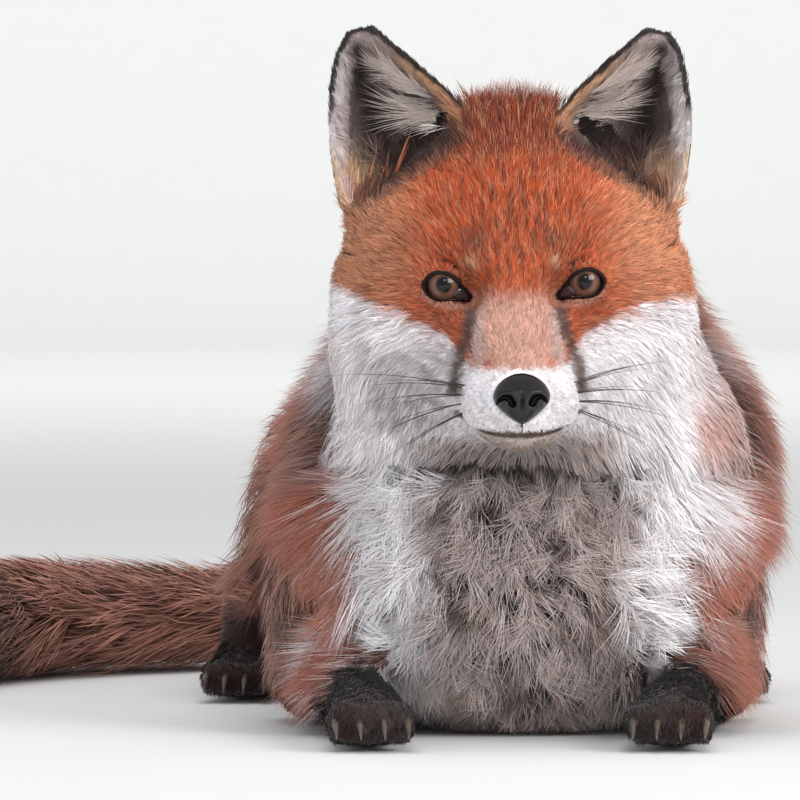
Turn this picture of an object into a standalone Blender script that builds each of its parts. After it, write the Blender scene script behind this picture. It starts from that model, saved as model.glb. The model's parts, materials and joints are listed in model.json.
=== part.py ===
"""A red fox lying on its chest with its head up, at life size, as a still museum model.

+Z is up, the fox faces -Y and its left side is at +X. The origin is on the floor, on the flat
under its breastbone. Every outline is taken to the tips of the coat.

The head, neck and trunk are blocked out from lofts and ellipsoids, fused and smoothed into one
form, and parted by plane cuts. The limbs, tail and ears are lofts of their own, and where two
pieces meet, one is cut back so that a thin gap stays between them.
"""

import math

import bmesh
import bpy
from mathutils import Matrix, Vector

MM = 0.001
GAP = 0.3 * MM
FAR = 2.0  # longer than the fox, for the cutters that stand for half of space

# Where the face is: midway between the eyes, and how the head is held.
EYE_LINE = Vector((0.0, -0.190, 0.195))
HEAD_LIFT, HEAD_TURN, HEAD_TILT = math.radians(2.0), math.radians(1.2), math.radians(1.2)
EYE_APART, EYE_RADIUS, EYE_SINK = 30.0, 9.6, -6.0
NOSE_WIDTH, NOSE_HEIGHT, NOSE_DEPTH = 23.0, 20.5, 19.0

FUSE_VOXEL = 3.4 * MM
BODY_TRIANGLES = 1950
LIMB_TRIANGLES = 100
FOOT_TRIANGLES = 250
TAIL_TRIANGLES = 280

# Coat and flesh colours, linear RGB, with roughness.
FINISHES = {
    "russet_coat": ((0.42, 0.13, 0.045), 0.85),
    "white_coat": ((0.72, 0.68, 0.63), 0.9),
    "black_coat": ((0.035, 0.027, 0.024), 0.8),
    "ear_coat": ((0.16, 0.10, 0.075), 0.85),
    "nose_leather": ((0.012, 0.011, 0.013), 0.3),
    "amber_eye": ((0.22, 0.10, 0.03), 0.08),
}


# ---------------------------------------------------------------- tools


def clear_scene():
    for obj in list(bpy.data.objects):
        bpy.data.objects.remove(obj)


def make_collection(name):
    made = bpy.data.collections.new(name)
    bpy.context.scene.collection.children.link(made)
    return made


def finish(name):
    """The Principled material of that name, made once."""
    if name in bpy.data.materials:
        return bpy.data.materials[name]
    colour, roughness = FINISHES[name]
    material = bpy.data.materials.new(name)
    material.use_nodes = True
    shader = material.node_tree.nodes["Principled BSDF"]
    shader.inputs["Base Color"].default_value = (*colour, 1.0)
    shader.inputs["Roughness"].default_value = roughness
    shader.inputs["Metallic"].default_value = 0.0
    return material


def add_object(name, mesh, collection, finish_name=None):
    obj = bpy.data.objects.new(name, mesh)
    collection.objects.link(obj)
    if finish_name:
        mesh.materials.clear()
        mesh.materials.append(finish(finish_name))
    return obj


def hide(obj):
    """Marks a helper, which isn't a piece of the fox."""
    obj.hide_render = True
    obj.display_type = "WIRE"
    return obj


def evaluated_mesh(obj):
    """A mesh of its own with the object's modifiers in it, in world space."""
    bpy.context.view_layer.update()
    graph = bpy.context.evaluated_depsgraph_get()
    mesh = bpy.data.meshes.new_from_object(obj.evaluated_get(graph))
    mesh.transform(obj.matrix_world)
    return mesh


def smooth_step(share):
    share = max(0.0, min(1.0, share))
    return share * share * (3.0 - 2.0 * share)


def between(a, b, c, d, t):
    """Catmull-Rom value between b and c."""
    return 0.5 * (2 * b + (c - a) * t + (2 * a - 5 * b + 4 * c - d) * t * t + (3 * b - 3 * c + d - a) * t**3)


def fair(stations, steps):
    """The stations with smooth ones put in between, steps to each gap. A size never falls under zero."""
    rows = [tuple(float(value) for value in row) for row in stations]
    rows = [rows[0], *rows, rows[-1]]
    made = []
    for i in range(1, len(rows) - 2):
        for step in range(steps):
            t = step / steps
            made.append([between(*values, t) for values in zip(*rows[i - 1 : i + 3])])
    made.append(list(rows[-1]))
    return made


def ring_points(centre, across, up, half_width, rise, drop, squareness, sides):
    """One closed section: half_width to each side, rise above the centre and drop below it."""
    points = []
    for i in range(sides):
        angle = 2 * math.pi * i / sides
        c, s = math.cos(angle), math.sin(angle)
        power = 2.0 / squareness
        x = math.copysign(abs(c) ** power, c) * half_width
        z = math.copysign(abs(s) ** power, s) * (rise if s > 0 else drop)
        points.append(centre + across * x + up * z)
    return points


def loft_mesh(name, rings):
    """A closed mesh through rings of equal length, with a fan at each end."""
    bm = bmesh.new()
    rows = [[bm.verts.new(point) for point in ring] for ring in rings]
    count = len(rows[0])
    for low, high in zip(rows, rows[1:]):
        for i in range(count):
            j = (i + 1) % count
            bm.faces.new((low[i], low[j], high[j], high[i]))
    for row in (rows[0], rows[-1]):
        tip = bm.verts.new(sum((v.co for v in row), Vector()) / count)
        for i in range(count):
            bm.faces.new((row[i], row[(i + 1) % count], tip))
    bmesh.ops.recalc_face_normals(bm, faces=bm.faces)
    mesh = bpy.data.meshes.new(name)
    bm.to_mesh(mesh)
    bm.free()
    return mesh


def tube_mesh(name, stations, sides=16, steps=3, squareness=2.0, level=Vector((0, 0, 1))):
    """A limb or a tail. Each station is (x, y, z, half width, half height), its section square to
    the path, with half height measured nearest to the level direction."""
    rows = fair(stations, steps)
    places = [Vector(row[:3]) for row in rows]
    rings = []
    for i, row in enumerate(rows):
        ahead = (places[min(i + 1, len(rows) - 1)] - places[max(i - 1, 0)]).normalized()
        across = ahead.cross(level).normalized()
        up = across.cross(ahead).normalized()
        size = (max(row[3], 0.4 * MM), max(row[4], 0.4 * MM))
        rings.append(ring_points(places[i], across, up, size[0], size[1], size[1], squareness, sides))
    return loft_mesh(name, rings)


def ball_mesh(name, centre, radii, segments=24, rings=14, turn=None):
    bm = bmesh.new()
    bmesh.ops.create_uvsphere(bm, u_segments=segments, v_segments=rings, radius=1.0)
    turn = turn or Matrix.Identity(3)
    for vertex in bm.verts:
        scaled = Vector([value * radius for value, radius in zip(vertex.co, radii)])
        vertex.co = turn @ scaled + Vector(centre)
    mesh = bpy.data.meshes.new(name)
    bm.to_mesh(mesh)
    bm.free()
    return mesh


def fused(name, meshes, voxel, rounds, triangles=None):
    """One smooth closed mesh around all these, thinned to about that many triangles if a number is given."""
    bm = bmesh.new()
    for mesh in meshes:
        bm.from_mesh(mesh)
    whole = bpy.data.meshes.new(name)
    bm.to_mesh(whole)
    bm.free()
    holder = add_object(name, whole, bpy.context.scene.collection)
    remesh = holder.modifiers.new("fuse", "REMESH")
    remesh.mode = "VOXEL"
    remesh.voxel_size = voxel
    soften = holder.modifiers.new("soften", "SMOOTH")
    soften.factor = 0.5
    soften.iterations = rounds
    made = evaluated_mesh(holder)
    if triangles:
        thin = holder.modifiers.new("thin", "DECIMATE")
        thin.ratio = triangles / sum(len(face.vertices) - 2 for face in made.polygons)
        made = evaluated_mesh(holder)
    bpy.data.objects.remove(holder)
    return made


def limb_mesh(name, stations, triangles=LIMB_TRIANGLES):
    """A tube_mesh() made even and free of folds at its bends."""
    return fused(name, [tube_mesh(name, stations)], 2.6 * MM, 3, triangles)


def cut(obj, cutter, operation="DIFFERENCE"):
    """Leaves a live Boolean on the object."""
    boolean = obj.modifiers.new(f"{operation.lower()} {cutter.name}", "BOOLEAN")
    boolean.operation = operation
    boolean.solver = "EXACT"
    boolean.object = cutter


def clearance_of(obj, cutters, gap=GAP):
    """A hidden copy of the piece before any cuts, one gap larger all over, to cut neighbours with."""
    copy = add_object(f"cut_{obj.name}", obj.data.copy(), cutters)
    copy.location = obj.location
    swell = copy.modifiers.new("swell", "DISPLACE")
    swell.strength = gap
    swell.mid_level = 0.0
    return hide(copy)


def half_space(name, point, outward, cutters):
    """A hidden block that fills space on the outward side of a plane through the point."""
    bm = bmesh.new()
    bmesh.ops.create_cube(bm, size=FAR)
    turn = Vector(outward).to_track_quat("Z", "Y").to_matrix().to_4x4()
    place = Matrix.Translation(Vector(point)) @ turn @ Matrix.Translation((0, 0, FAR / 2))
    bm.transform(place)
    mesh = bpy.data.meshes.new(name)
    bm.to_mesh(mesh)
    bm.free()
    return hide(add_object(name, mesh, cutters))


def dent(mesh, centre, reach, push):
    """Moves the surface near a point by push, fading out at the reach."""
    for vertex in mesh.vertices:
        share = 1.0 - (vertex.co - centre).length / reach
        if share > 0:
            vertex.co += push * smooth_step(share)


# ---------------------------------------------------------------- the head's own frame


def head_axes():
    """Columns are the head's left, up and forward, in the fox's frame."""
    upright = Matrix(((1, 0, 0), (0, 0, -1), (0, 1, 0)))
    turn = Matrix.Rotation(HEAD_TURN, 3, "Z")
    lift = Matrix.Rotation(-HEAD_LIFT, 3, "X")
    tilt = Matrix.Rotation(HEAD_TILT, 3, "Y")
    return turn @ lift @ tilt.transposed() @ upright


HEAD = head_axes()


def in_head(left, up, forward):
    """A place given in millimetres from the point between the eyes."""
    return EYE_LINE + HEAD @ (Vector((left, up, forward)) * MM)


def head_loft():
    """The face to the tips of its fur, from the muzzle's front to the nape.
    Each station is (forward, half width, top, widest level, bottom, left) in millimetres."""
    stations = (
        (67, 8, -43, -50, -60, 0.0),
        (62, 15, -37, -50, -68, 0.0),
        (55, 19.5, -32, -50, -72, 0.0),
        (45, 22.5, -25, -49, -73.5, 0.0),
        (33, 26, -15, -46, -72.5, 0.0),
        (20, 31.5, -3, -38, -72, 0.0),
        (8, 43, 10, -30, -72, 0.0),
        (-4, 60, 27, -24, -75, 0.0),
        (-20, 75, 49, -22, -81, 0.0),
        (-38, 82, 70, -24, -85, 0.5),
        (-58, 82, 86, -18, -82, 1.0),
        (-78, 73, 83, -8, -74, 1.5),
        (-98, 52, 64, -5, -56, 1.5),
        (-112, 26, 34, -5, -34, 1.0),
    )
    rings = []
    for forward, half_width, top, middle, bottom, left in fair(stations, 4):
        centre = in_head(left, middle, forward)
        sizes = (half_width * MM, (top - middle) * MM, (middle - bottom) * MM)
        rings.append(ring_points(centre, HEAD.col[0], HEAD.col[1], *sizes, 2.15, 40))
    return loft_mesh("head_form", rings)


def whisker_pads():
    """The full upper lips at each side of the muzzle."""
    pads = []
    for side in (-1, 1):
        centre = in_head(side * 14.5, -51, 47)
        pads.append(ball_mesh("pad", centre, (13.5 * MM, 14 * MM, 18 * MM), 20, 12, HEAD))
    return pads


def ear_sheet(side, shift, stretch):
    """The open surface of one ear: a leaf, cupped towards the front.
    Its rows run from the root to the tip: inner edge, outer edge, how far forward, depth of the cup."""
    rows = (
        ((14, 58), (64, 8), -56, 20),
        ((19, 72), (73, 30), -54, 22),
        ((28, 81), (77.5, 48), -53, 21),
        ((38, 90), (79, 66), -52, 18),
        ((48, 98.5), (78, 84), -52, 13),
        ((55.5, 105), (75, 98), -52, 8),
        ((60.5, 109), (70.5, 107), -52, 3),
    )
    flat = [(*inner, *outer, forward, cup) for inner, outer, forward, cup in rows]
    bm = bmesh.new()
    grid = []
    across = 9
    for in_u, in_v, out_u, out_v, forward, cup in fair(flat, 1):
        line = []
        for i in range(across + 1):
            t = i / across
            bowl = 4.0 * t * (1.0 - t)
            lean = 6.0 * (1.0 - t)
            u = side * (in_u + (out_u - in_u) * t) + shift
            v = in_v + (out_v - in_v) * t
            v += stretch * max(0.0, v) / 109
            line.append(bm.verts.new(in_head(u, v, forward + lean - cup * bowl)))
        grid.append(line)
    for low, high in zip(grid, grid[1:]):
        for i in range(across):
            bm.faces.new((low[i], low[i + 1], high[i + 1], high[i]))
    bmesh.ops.recalc_face_normals(bm, faces=bm.faces)
    mesh = bpy.data.meshes.new("ear")
    bm.to_mesh(mesh)
    bm.free()
    return mesh


# ---------------------------------------------------------------- the body's forms


def trunk_loft():
    """Each station is (y, x, z, half width, rise, drop)."""
    stations = (
        (-0.186, 0.006, 0.078, 0.020, 0.020, 0.020),
        (-0.174, 0.006, 0.078, 0.056, 0.058, 0.060),
        (-0.142, 0.007, 0.082, 0.081, 0.084, 0.084),
        (-0.095, 0.008, 0.086, 0.093, 0.098, 0.090),
        (-0.040, 0.008, 0.088, 0.096, 0.101, 0.092),
        (0.030, 0.004, 0.087, 0.098, 0.098, 0.091),
        (0.100, -0.002, 0.084, 0.094, 0.094, 0.088),
        (0.170, -0.008, 0.083, 0.089, 0.093, 0.087),
        (0.230, -0.011, 0.082, 0.082, 0.090, 0.086),
        (0.285, -0.013, 0.080, 0.066, 0.077, 0.083),
        (0.318, -0.014, 0.078, 0.044, 0.052, 0.060),
        (0.332, -0.014, 0.076, 0.014, 0.016, 0.020),
    )
    across, up = Vector((1, 0, 0)), Vector((0, 0, 1))
    rings = []
    for y, x, z, half_width, rise, drop in fair(stations, 3):
        rings.append(ring_points(Vector((x, y, z)), across, up, half_width, rise, drop, 2.1, 36))
    return loft_mesh("trunk_form", rings)


def neck_forms():
    """The thick neck and its ruff, the breast under it and the two shoulders."""
    return [
        tube_mesh(
            "nape",
            (
                (0.008, 0.030, 0.095, 0.080, 0.082),
                (0.007, -0.040, 0.135, 0.080, 0.088),
                (0.003, -0.092, 0.178, 0.075, 0.082),
                (0.001, -0.128, 0.214, 0.060, 0.062),
            ),
            sides=28,
        ),
        ball_mesh("ruff", (0.010, -0.124, 0.114), (0.101, 0.070, 0.084)),
        ball_mesh("breast", (0.006, -0.140, 0.066), (0.086, 0.062, 0.070)),
        ball_mesh("left_shoulder", (0.067, -0.068, 0.108), (0.050, 0.072, 0.066)),
        ball_mesh("right_shoulder", (-0.055, -0.062, 0.100), (0.050, 0.072, 0.066)),
    ]


def carve_face(body):
    """Hollows the fused form at the eyes and under the cheekbones, where the solid is too full."""
    for side in (-1, 1):
        dent(body, in_head(side * 29.5, -2.5, 2), 19 * MM, -HEAD.col[2] * 11.5 * MM)
        dent(body, in_head(side * 33, -26, 12), 20 * MM, -HEAD.col[2] * 3.0 * MM)


def make_body():
    """The head, neck and trunk as one smooth mesh."""
    torso = fused("torso", [trunk_loft(), *neck_forms()], FUSE_VOXEL, 30)
    body = fused("body", [torso, head_loft(), *whisker_pads()], FUSE_VOXEL, 7, BODY_TRIANGLES)
    carve_face(body)
    return body


# ---------------------------------------------------------------- pieces


class Fox:
    """The pieces as they are made, and the hidden cutters beside them."""

    def __init__(self):
        self.clearances = {}
        self.pieces = make_collection("fox")
        self.cutters = make_collection("cutters")
        self.cutters.hide_render = True
        self.floor = half_space("cut_floor", (0, 0, 0), (0, 0, -1), self.cutters)

    def add(self, name, mesh, finish_name):
        """A piece of the fox, with its origin at its own middle."""
        corners = [Vector([pick(v.co[axis] for v in mesh.vertices) for axis in range(3)]) for pick in (min, max)]
        middle = (corners[0] + corners[1]) / 2
        mesh.transform(Matrix.Translation(-middle))
        piece = add_object(name, mesh, self.pieces, finish_name)
        piece.location = middle
        return piece

    def space(self, name, point, outward, back=-GAP / 2):
        """A half of space to cut with. Its face is half a gap inside the piece that is kept."""
        outward = Vector(outward).normalized()
        return half_space(f"cut_{name}", Vector(point) + outward * back, outward, self.cutters)

    def trim(self, piece, *neighbours):
        """Cuts the piece back from its neighbours and leaves a gap."""
        for neighbour in neighbours:
            if neighbour.name not in self.clearances:
                self.clearances[neighbour.name] = clearance_of(neighbour, self.cutters)
            cut(piece, self.clearances[neighbour.name])


def make_eyes(fox):
    eyes = []
    for name, side in (("eye_right", -1), ("eye_left", 1)):
        centre = in_head(side * EYE_APART, 0, EYE_SINK)
        mesh = ball_mesh(name, centre, (EYE_RADIUS * MM,) * 3, 14, 8)
        eyes.append(fox.add(name, mesh, "amber_eye"))
    return eyes


def make_nose(fox):
    """The nose leather, a blunt wedge set into the muzzle's tip."""
    centre = in_head(0, -48.5, 67)
    radii = (NOSE_WIDTH / 2 * MM, NOSE_HEIGHT / 2 * MM, NOSE_DEPTH / 2 * MM)
    mesh = ball_mesh("nose", centre, radii, 14, 8, HEAD)
    for vertex in mesh.vertices:
        place = HEAD.transposed() @ (vertex.co - centre)
        narrow = 1.0 - 0.22 * max(0.0, -place.y / radii[1])
        vertex.co += HEAD.col[0] * place.x * (narrow - 1.0)
    return fox.add("nose", mesh, "nose_leather")


def make_ears(fox):
    ears = []
    for name, side, shift, stretch in (("ear_right", -1, 2.5, 4.0), ("ear_left", 1, 0.5, 0.5)):
        ear = fox.add(name, ear_sheet(side, shift, stretch), "ear_coat")
        shell = ear.modifiers.new("thickness", "SOLIDIFY")
        shell.thickness = 5.0 * MM
        shell.offset = 0.0
        shell.use_even_offset = False
        ears.append(ear)
    return ears


def make_axial(fox, body):
    """Parts the fused body: the head off behind the cheeks and over the throat, the neck off the trunk."""
    nape, nape_normal = Vector((0, -0.100, 0.255)), Vector((0, 0.949, -0.316))
    throat, throat_normal = in_head(0, -78, 0), Vector((0, 0.17, -0.985))
    withers, withers_normal = Vector((0, -0.045, 0.190)), Vector((0, 0.90, -0.43))
    head = fox.add("head", body.copy(), "russet_coat")
    neck = fox.add("neck", body.copy(), "white_coat")
    trunk = fox.add("trunk", body, "russet_coat")
    cut(head, fox.space("behind_head", nape, nape_normal))
    cut(head, fox.space("under_head", throat, throat_normal))
    head_space = fox.space("head_space", nape, -nape_normal)
    cut(head_space, fox.space("under_head_space", throat, throat_normal, GAP / 2))
    cut(neck, head_space)
    cut(neck, fox.space("behind_neck", withers, withers_normal))
    cut(trunk, fox.space("before_trunk", withers, -withers_normal))
    cut(neck, fox.floor)
    cut(trunk, fox.floor)
    return head, neck, trunk


def make_jaw(fox, head):
    """The lower jaw, parted from the head along the line of the lips and behind its corner."""
    lips = in_head(0, -65.5, 62)
    lip_normal = HEAD @ Vector((0, 0.974, 0.225))
    corner = in_head(0, 0, 12)
    forward = HEAD.col[2]
    jaw = fox.add("lower_jaw", evaluated_mesh(head), "white_coat")
    cut(jaw, fox.space("over_jaw", lips, lip_normal, -GAP / 2))
    cut(jaw, fox.space("behind_jaw", corner, -forward, -GAP / 2))
    under_lips = fox.space("under_lips", lips, -lip_normal, -GAP / 2)
    cut(under_lips, fox.space("far_behind_jaw", corner, -forward, GAP / 2))
    cut(head, under_lips)
    return jaw


def make_tail(fox):
    """The brush, in three lengths, swept round to the fox's right on the floor."""
    stations = (
        (-0.012, 0.296, 0.088, 0.024, 0.024),
        (-0.024, 0.330, 0.058, 0.027, 0.027),
        (-0.066, 0.347, 0.031, 0.031, 0.028),
        (-0.125, 0.335, 0.0245, 0.036, 0.028),
        (-0.185, 0.303, 0.0250, 0.041, 0.029),
        (-0.235, 0.255, 0.0275, 0.043, 0.031),
        (-0.268, 0.195, 0.0260, 0.041, 0.030),
        (-0.283, 0.135, 0.0190, 0.031, 0.023),
        (-0.286, 0.096, 0.0100, 0.010, 0.009),
    )
    mesh = limb_mesh("tail", stations, TAIL_TRIANGLES)
    marks = ((-0.110, 0.338), (-0.243, 0.243))
    headings = (Vector((-0.97, -0.24, 0)), Vector((-0.60, -0.80, 0)))
    names = ("tail_root", "tail_middle", "tail_tip")
    lengths = []
    for i, name in enumerate(names):
        part = fox.add(name, mesh.copy(), "white_coat" if i == 2 else "russet_coat")
        if i < 2:
            cut(part, fox.space(f"{name}_end", (*marks[i], 0), headings[i]))
        if i > 0:
            cut(part, fox.space(f"{name}_start", (*marks[i - 1], 0), -headings[i - 1]))
        cut(part, fox.floor)
        lengths.append(part)
    return lengths


def make_foot(fox, shin_name, paw_name, shin, ankle, toes, width, height):
    """The lowest two pieces of a leg, lying flat and parted at the ankle: a shin, given by its
    stations, and a paw with a tapered sole and four clawed toes."""
    ahead = (toes - ankle).normalized()
    aside = ahead.cross(Vector((0, 0, 1))).normalized()
    turn = Matrix((aside, ahead, Vector((0, 0, 1)))).transposed()
    sole = (
        (*ankle.lerp(toes, -0.06), 0.012, 0.012),
        (*ankle.lerp(toes, 0.04), 0.016, 0.017),
        (*ankle.lerp(toes, 0.55), width * 0.46, height * 0.50),
        (*ankle.lerp(toes, 0.86), width * 0.40, height * 0.44),
        (*toes, width * 0.25, height * 0.30),
    )
    forms = [tube_mesh(shin_name, shin), tube_mesh(paw_name, sole)]
    claws = []
    for i in range(4):
        spread = (i - 1.5) / 1.5
        reach = 0.004 * (1 - abs(spread))
        tip = toes + aside * spread * width * 0.36 + ahead * reach
        tip.z = height * 0.40
        forms.append(ball_mesh(paw_name, tip, (width * 0.155, width * 0.30, height * 0.42), 12, 8, turn))
        root = tip + ahead * width * 0.20 + Vector((0, 0, height * 0.02))
        bend = root + ahead * 0.0080 + Vector((0, 0, -0.0012))
        point = bend + ahead * 0.0045 + Vector((0, 0, -0.0042))
        horn = (
            (*root, 0.0017, 0.0022),
            (*bend, 0.0014, 0.0019),
            (*point, 0.0005, 0.0006),
        )
        claw_name = f"claw_{paw_name}_{i + 1}"
        claws.append(hide(add_object(claw_name, tube_mesh(claw_name, horn, 6, 1), fox.cutters)))
    whole = fused(shin_name, forms, 2.0 * MM, 4, FOOT_TRIANGLES)
    lower_leg = fox.add(shin_name, whole.copy(), "black_coat")
    paw = fox.add(paw_name, whole, "black_coat")
    cut(lower_leg, fox.space(f"{shin_name}_end", ankle, ahead))
    cut(paw, fox.space(f"{paw_name}_start", ankle, -ahead))
    for claw in claws:
        cut(paw, claw, "UNION")
    cut(lower_leg, fox.floor)
    cut(paw, fox.floor)
    return lower_leg


def make_foreleg(fox, name, side):
    """Upper arm, forearm and forepaw, the forearm laid forward on the floor."""
    mid = 0.002
    upper_stations = (
        (mid + side * 0.070, -0.150, 0.100, 0.014, 0.018),
        (mid + side * 0.076, -0.140, 0.088, 0.030, 0.036),
        (mid + side * 0.083, -0.095, 0.062, 0.031, 0.036),
        (mid + side * 0.088, -0.052, 0.038, 0.026, 0.030),
        (mid + side * 0.088, -0.030, 0.030, 0.012, 0.014),
    )
    forearm_stations = (
        (mid + side * 0.086, -0.030, 0.021, 0.012, 0.013),
        (mid + side * 0.086, -0.048, 0.021, 0.024, 0.024),
        (mid + side * 0.080, -0.105, 0.019, 0.022, 0.022),
        (mid + side * 0.070, -0.170, 0.0165, 0.0175, 0.0185),
        (mid + side * 0.066, -0.204, 0.0150, 0.0150, 0.0160),
    )
    ankle = Vector((mid + side * 0.066, -0.200, 0.0145))
    toes = Vector((mid + side * 0.063, -0.254, 0.0125))
    upper = fox.add(f"upper_arm_{name}", limb_mesh("upper_arm", upper_stations), "russet_coat")
    forearm = make_foot(
        fox, f"forearm_{name}", f"forepaw_{name}", forearm_stations, ankle, toes, 0.042, 0.030
    )
    fox.trim(forearm, upper)
    cut(upper, fox.floor)
    return [upper, forearm]


def make_hindleg(fox, name, side):
    """Thigh, shank, instep and paw, folded beside the belly with the foot flat under the shank."""
    mid = -0.010
    thigh_stations = (
        (mid + side * 0.050, 0.262, 0.108, 0.014, 0.022),
        (mid + side * 0.064, 0.232, 0.096, 0.030, 0.050),
        (mid + side * 0.079, 0.172, 0.083, 0.032, 0.058),
        (mid + side * 0.088, 0.112, 0.070, 0.027, 0.046),
        (mid + side * 0.088, 0.084, 0.062, 0.013, 0.024),
    )
    shank_stations = (
        (mid + side * 0.100, 0.084, 0.040, 0.010, 0.012),
        (mid + side * 0.101, 0.108, 0.040, 0.021, 0.024),
        (mid + side * 0.101, 0.170, 0.038, 0.020, 0.023),
        (mid + side * 0.098, 0.226, 0.033, 0.015, 0.018),
        (mid + side * 0.096, 0.252, 0.028, 0.008, 0.010),
    )
    instep_stations = (
        (mid + side * 0.098, 0.266, 0.020, 0.006, 0.007),
        (mid + side * 0.099, 0.256, 0.019, 0.015, 0.017),
        (mid + side * 0.104, 0.200, 0.014, 0.016, 0.016),
        (mid + side * 0.108, 0.140, 0.013, 0.0175, 0.0155),
        (mid + side * 0.109, 0.116, 0.0125, 0.0160, 0.0145),
    )
    ankle = Vector((mid + side * 0.109, 0.122, 0.0130))
    toes = Vector((mid + side * 0.112, 0.072, 0.0115))
    thigh = fox.add(f"thigh_{name}", limb_mesh("thigh", thigh_stations), "russet_coat")
    shank = fox.add(f"shank_{name}", limb_mesh("shank", shank_stations), "russet_coat")
    instep = make_foot(
        fox, f"instep_{name}", f"hindpaw_{name}", instep_stations, ankle, toes, 0.037, 0.027
    )
    fox.trim(shank, thigh, instep)
    cut(thigh, fox.floor)
    cut(shank, fox.floor)
    return [thigh, shank, instep]


def round_off(fox):
    """Shades the soft forms smooth."""
    for obj in fox.pieces.objects:
        obj.data.shade_smooth()
        obj.data.set_sharp_from_angle(angle=math.radians(50))


def main():
    clear_scene()
    fox = Fox()
    head, neck, trunk = make_axial(fox, make_body())
    eyes = make_eyes(fox)
    nose = make_nose(fox)
    fox.trim(head, *eyes, nose)
    make_jaw(fox, head)
    for ear in make_ears(fox):
        fox.trim(ear, trunk)
    limbs = []
    for name, side in (("left", 1), ("right", -1)):
        limbs += make_foreleg(fox, name, side)
        limbs += make_hindleg(fox, name, side)
    tail = make_tail(fox)
    fox.trim(tail[0], trunk)
    fox.trim(trunk, *limbs)
    fox.trim(neck, *[limb for limb in limbs if "arm" in limb.name])
    round_off(fox)


main()
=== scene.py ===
"""A red fox lying with its head up: one skin, the fur that grows on it, eyes, lids, nose, lips,
whiskers and claws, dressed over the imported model, with a studio round it.

Lengths are in metres, apart from those in the head's own frame, which are in millimetres: u to the
fox's left, v up and w forward, from the point midway between its eyes.
"""

import json
import math

import bmesh
import bpy
import numpy as np
from bpy.props import FloatProperty, FloatVectorProperty, IntProperty, PointerProperty
from mathutils import Matrix, Vector
from mathutils.bvhtree import BVHTree

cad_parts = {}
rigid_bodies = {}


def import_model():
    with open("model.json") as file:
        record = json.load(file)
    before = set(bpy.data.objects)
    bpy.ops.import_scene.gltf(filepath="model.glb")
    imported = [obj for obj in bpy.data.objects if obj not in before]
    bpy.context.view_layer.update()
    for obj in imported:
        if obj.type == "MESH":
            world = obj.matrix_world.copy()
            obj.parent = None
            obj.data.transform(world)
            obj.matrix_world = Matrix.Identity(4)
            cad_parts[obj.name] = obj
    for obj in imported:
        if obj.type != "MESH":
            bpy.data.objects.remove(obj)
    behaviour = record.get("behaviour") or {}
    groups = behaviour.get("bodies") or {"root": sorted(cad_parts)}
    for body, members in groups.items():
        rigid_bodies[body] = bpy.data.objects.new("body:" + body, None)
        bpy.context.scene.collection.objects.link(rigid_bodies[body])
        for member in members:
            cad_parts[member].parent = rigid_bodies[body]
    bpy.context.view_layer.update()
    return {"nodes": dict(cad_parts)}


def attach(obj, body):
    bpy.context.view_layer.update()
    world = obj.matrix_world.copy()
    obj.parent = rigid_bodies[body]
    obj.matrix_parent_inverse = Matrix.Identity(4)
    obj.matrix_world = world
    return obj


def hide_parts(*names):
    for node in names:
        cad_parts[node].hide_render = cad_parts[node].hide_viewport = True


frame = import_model()

bl_info = {
    "name": "Red fox",
    "version": (1, 0, 0),
    "blender": (4, 5, 0),
    "location": "3D View > Sidebar > Fox",
    "description": "Dresses the fox model with skin, fur, eyes, nose, whiskers and claws",
    "category": "Object",
}

MM = 0.001
BODY = "root"
SKIN_STEP = 1.8 * MM  # the grain at which the flesh is fused
SKIN_TRIANGLES = 186000
BOWL_DEPTH = 8.0 * MM  # how deep an ear is hollowed
EAR_WALL = 4.0 * MM  # what is left between its two sides
FULL_TURN = 2 * math.pi

# The head's frame: where it starts, in metres, and how it is held.
EYE_LINE = Vector((0.0, -0.190, 0.195))
HEAD_LIFT, HEAD_TURN, HEAD_TILT = math.radians(2.0), math.radians(1.2), math.radians(1.2)
# In the head's frame, how far each eye's middle is from the middle line and how deep, and the nose.
EYE_APART, EYE_SINK = 30.0, -6.0
NOSE_CENTRE = (0.0, -48.5, 67.0)

NODES = sorted(frame["nodes"])
FLESH = [name for name in NODES if not name.startswith(("eye", "nose"))]

# The opening between the lids, from its inner corner over the top: outward and up from the eye's middle.
LID_OPENING = (
    (-11.4, -5.8), (-9.0, -2.6), (-6.0, 0.7), (-2.6, 3.3), (1.2, 4.5), (4.6, 3.8), (7.0, 1.9),
    (8.0, -0.2), (7.3, -2.8), (5.0, -5.1), (1.6, -6.3), (-2.6, -6.5), (-6.6, -6.6), (-9.6, -6.8),
)
# The dark stripe from the eye's inner corner down to the whisker pad: outward and up.
TEAR_STRIPE = ((18.2, -5.0), (20.5, -15.0), (23.5, -26.0), (27.0, -36.0), (28.0, -45.0))
# The brush's middle line.
BRUSH_LINE = (
    (-0.012, 0.296, 0.088), (-0.024, 0.330, 0.058), (-0.066, 0.347, 0.031), (-0.125, 0.335, 0.0245),
    (-0.185, 0.303, 0.025), (-0.235, 0.255, 0.0275), (-0.268, 0.195, 0.026), (-0.283, 0.135, 0.019),
    (-0.286, 0.096, 0.010),
)


# ---------------------------------------------------------------- settings


def linear(red, green, blue):
    """Linear light from display values of 0 to 1."""
    return tuple(c / 12.92 if c <= 0.04045 else ((c + 0.055) / 1.055) ** 2.4 for c in (red, green, blue))


def tone(label, description, red, green, blue):
    return FloatVectorProperty(
        name=label, description=description, default=linear(red, green, blue), size=3,
        min=0.0, max=1.0, subtype="COLOR",
    )


def number(label, description, default, low, high, **more):
    return FloatProperty(name=label, description=description, default=default, min=low, max=high, **more)


def factor(label, description, low, high):
    """A share of a thing's own size or number, where 1 leaves it as it is."""
    return number(label, description, 1.0, low, high, subtype="FACTOR")


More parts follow.
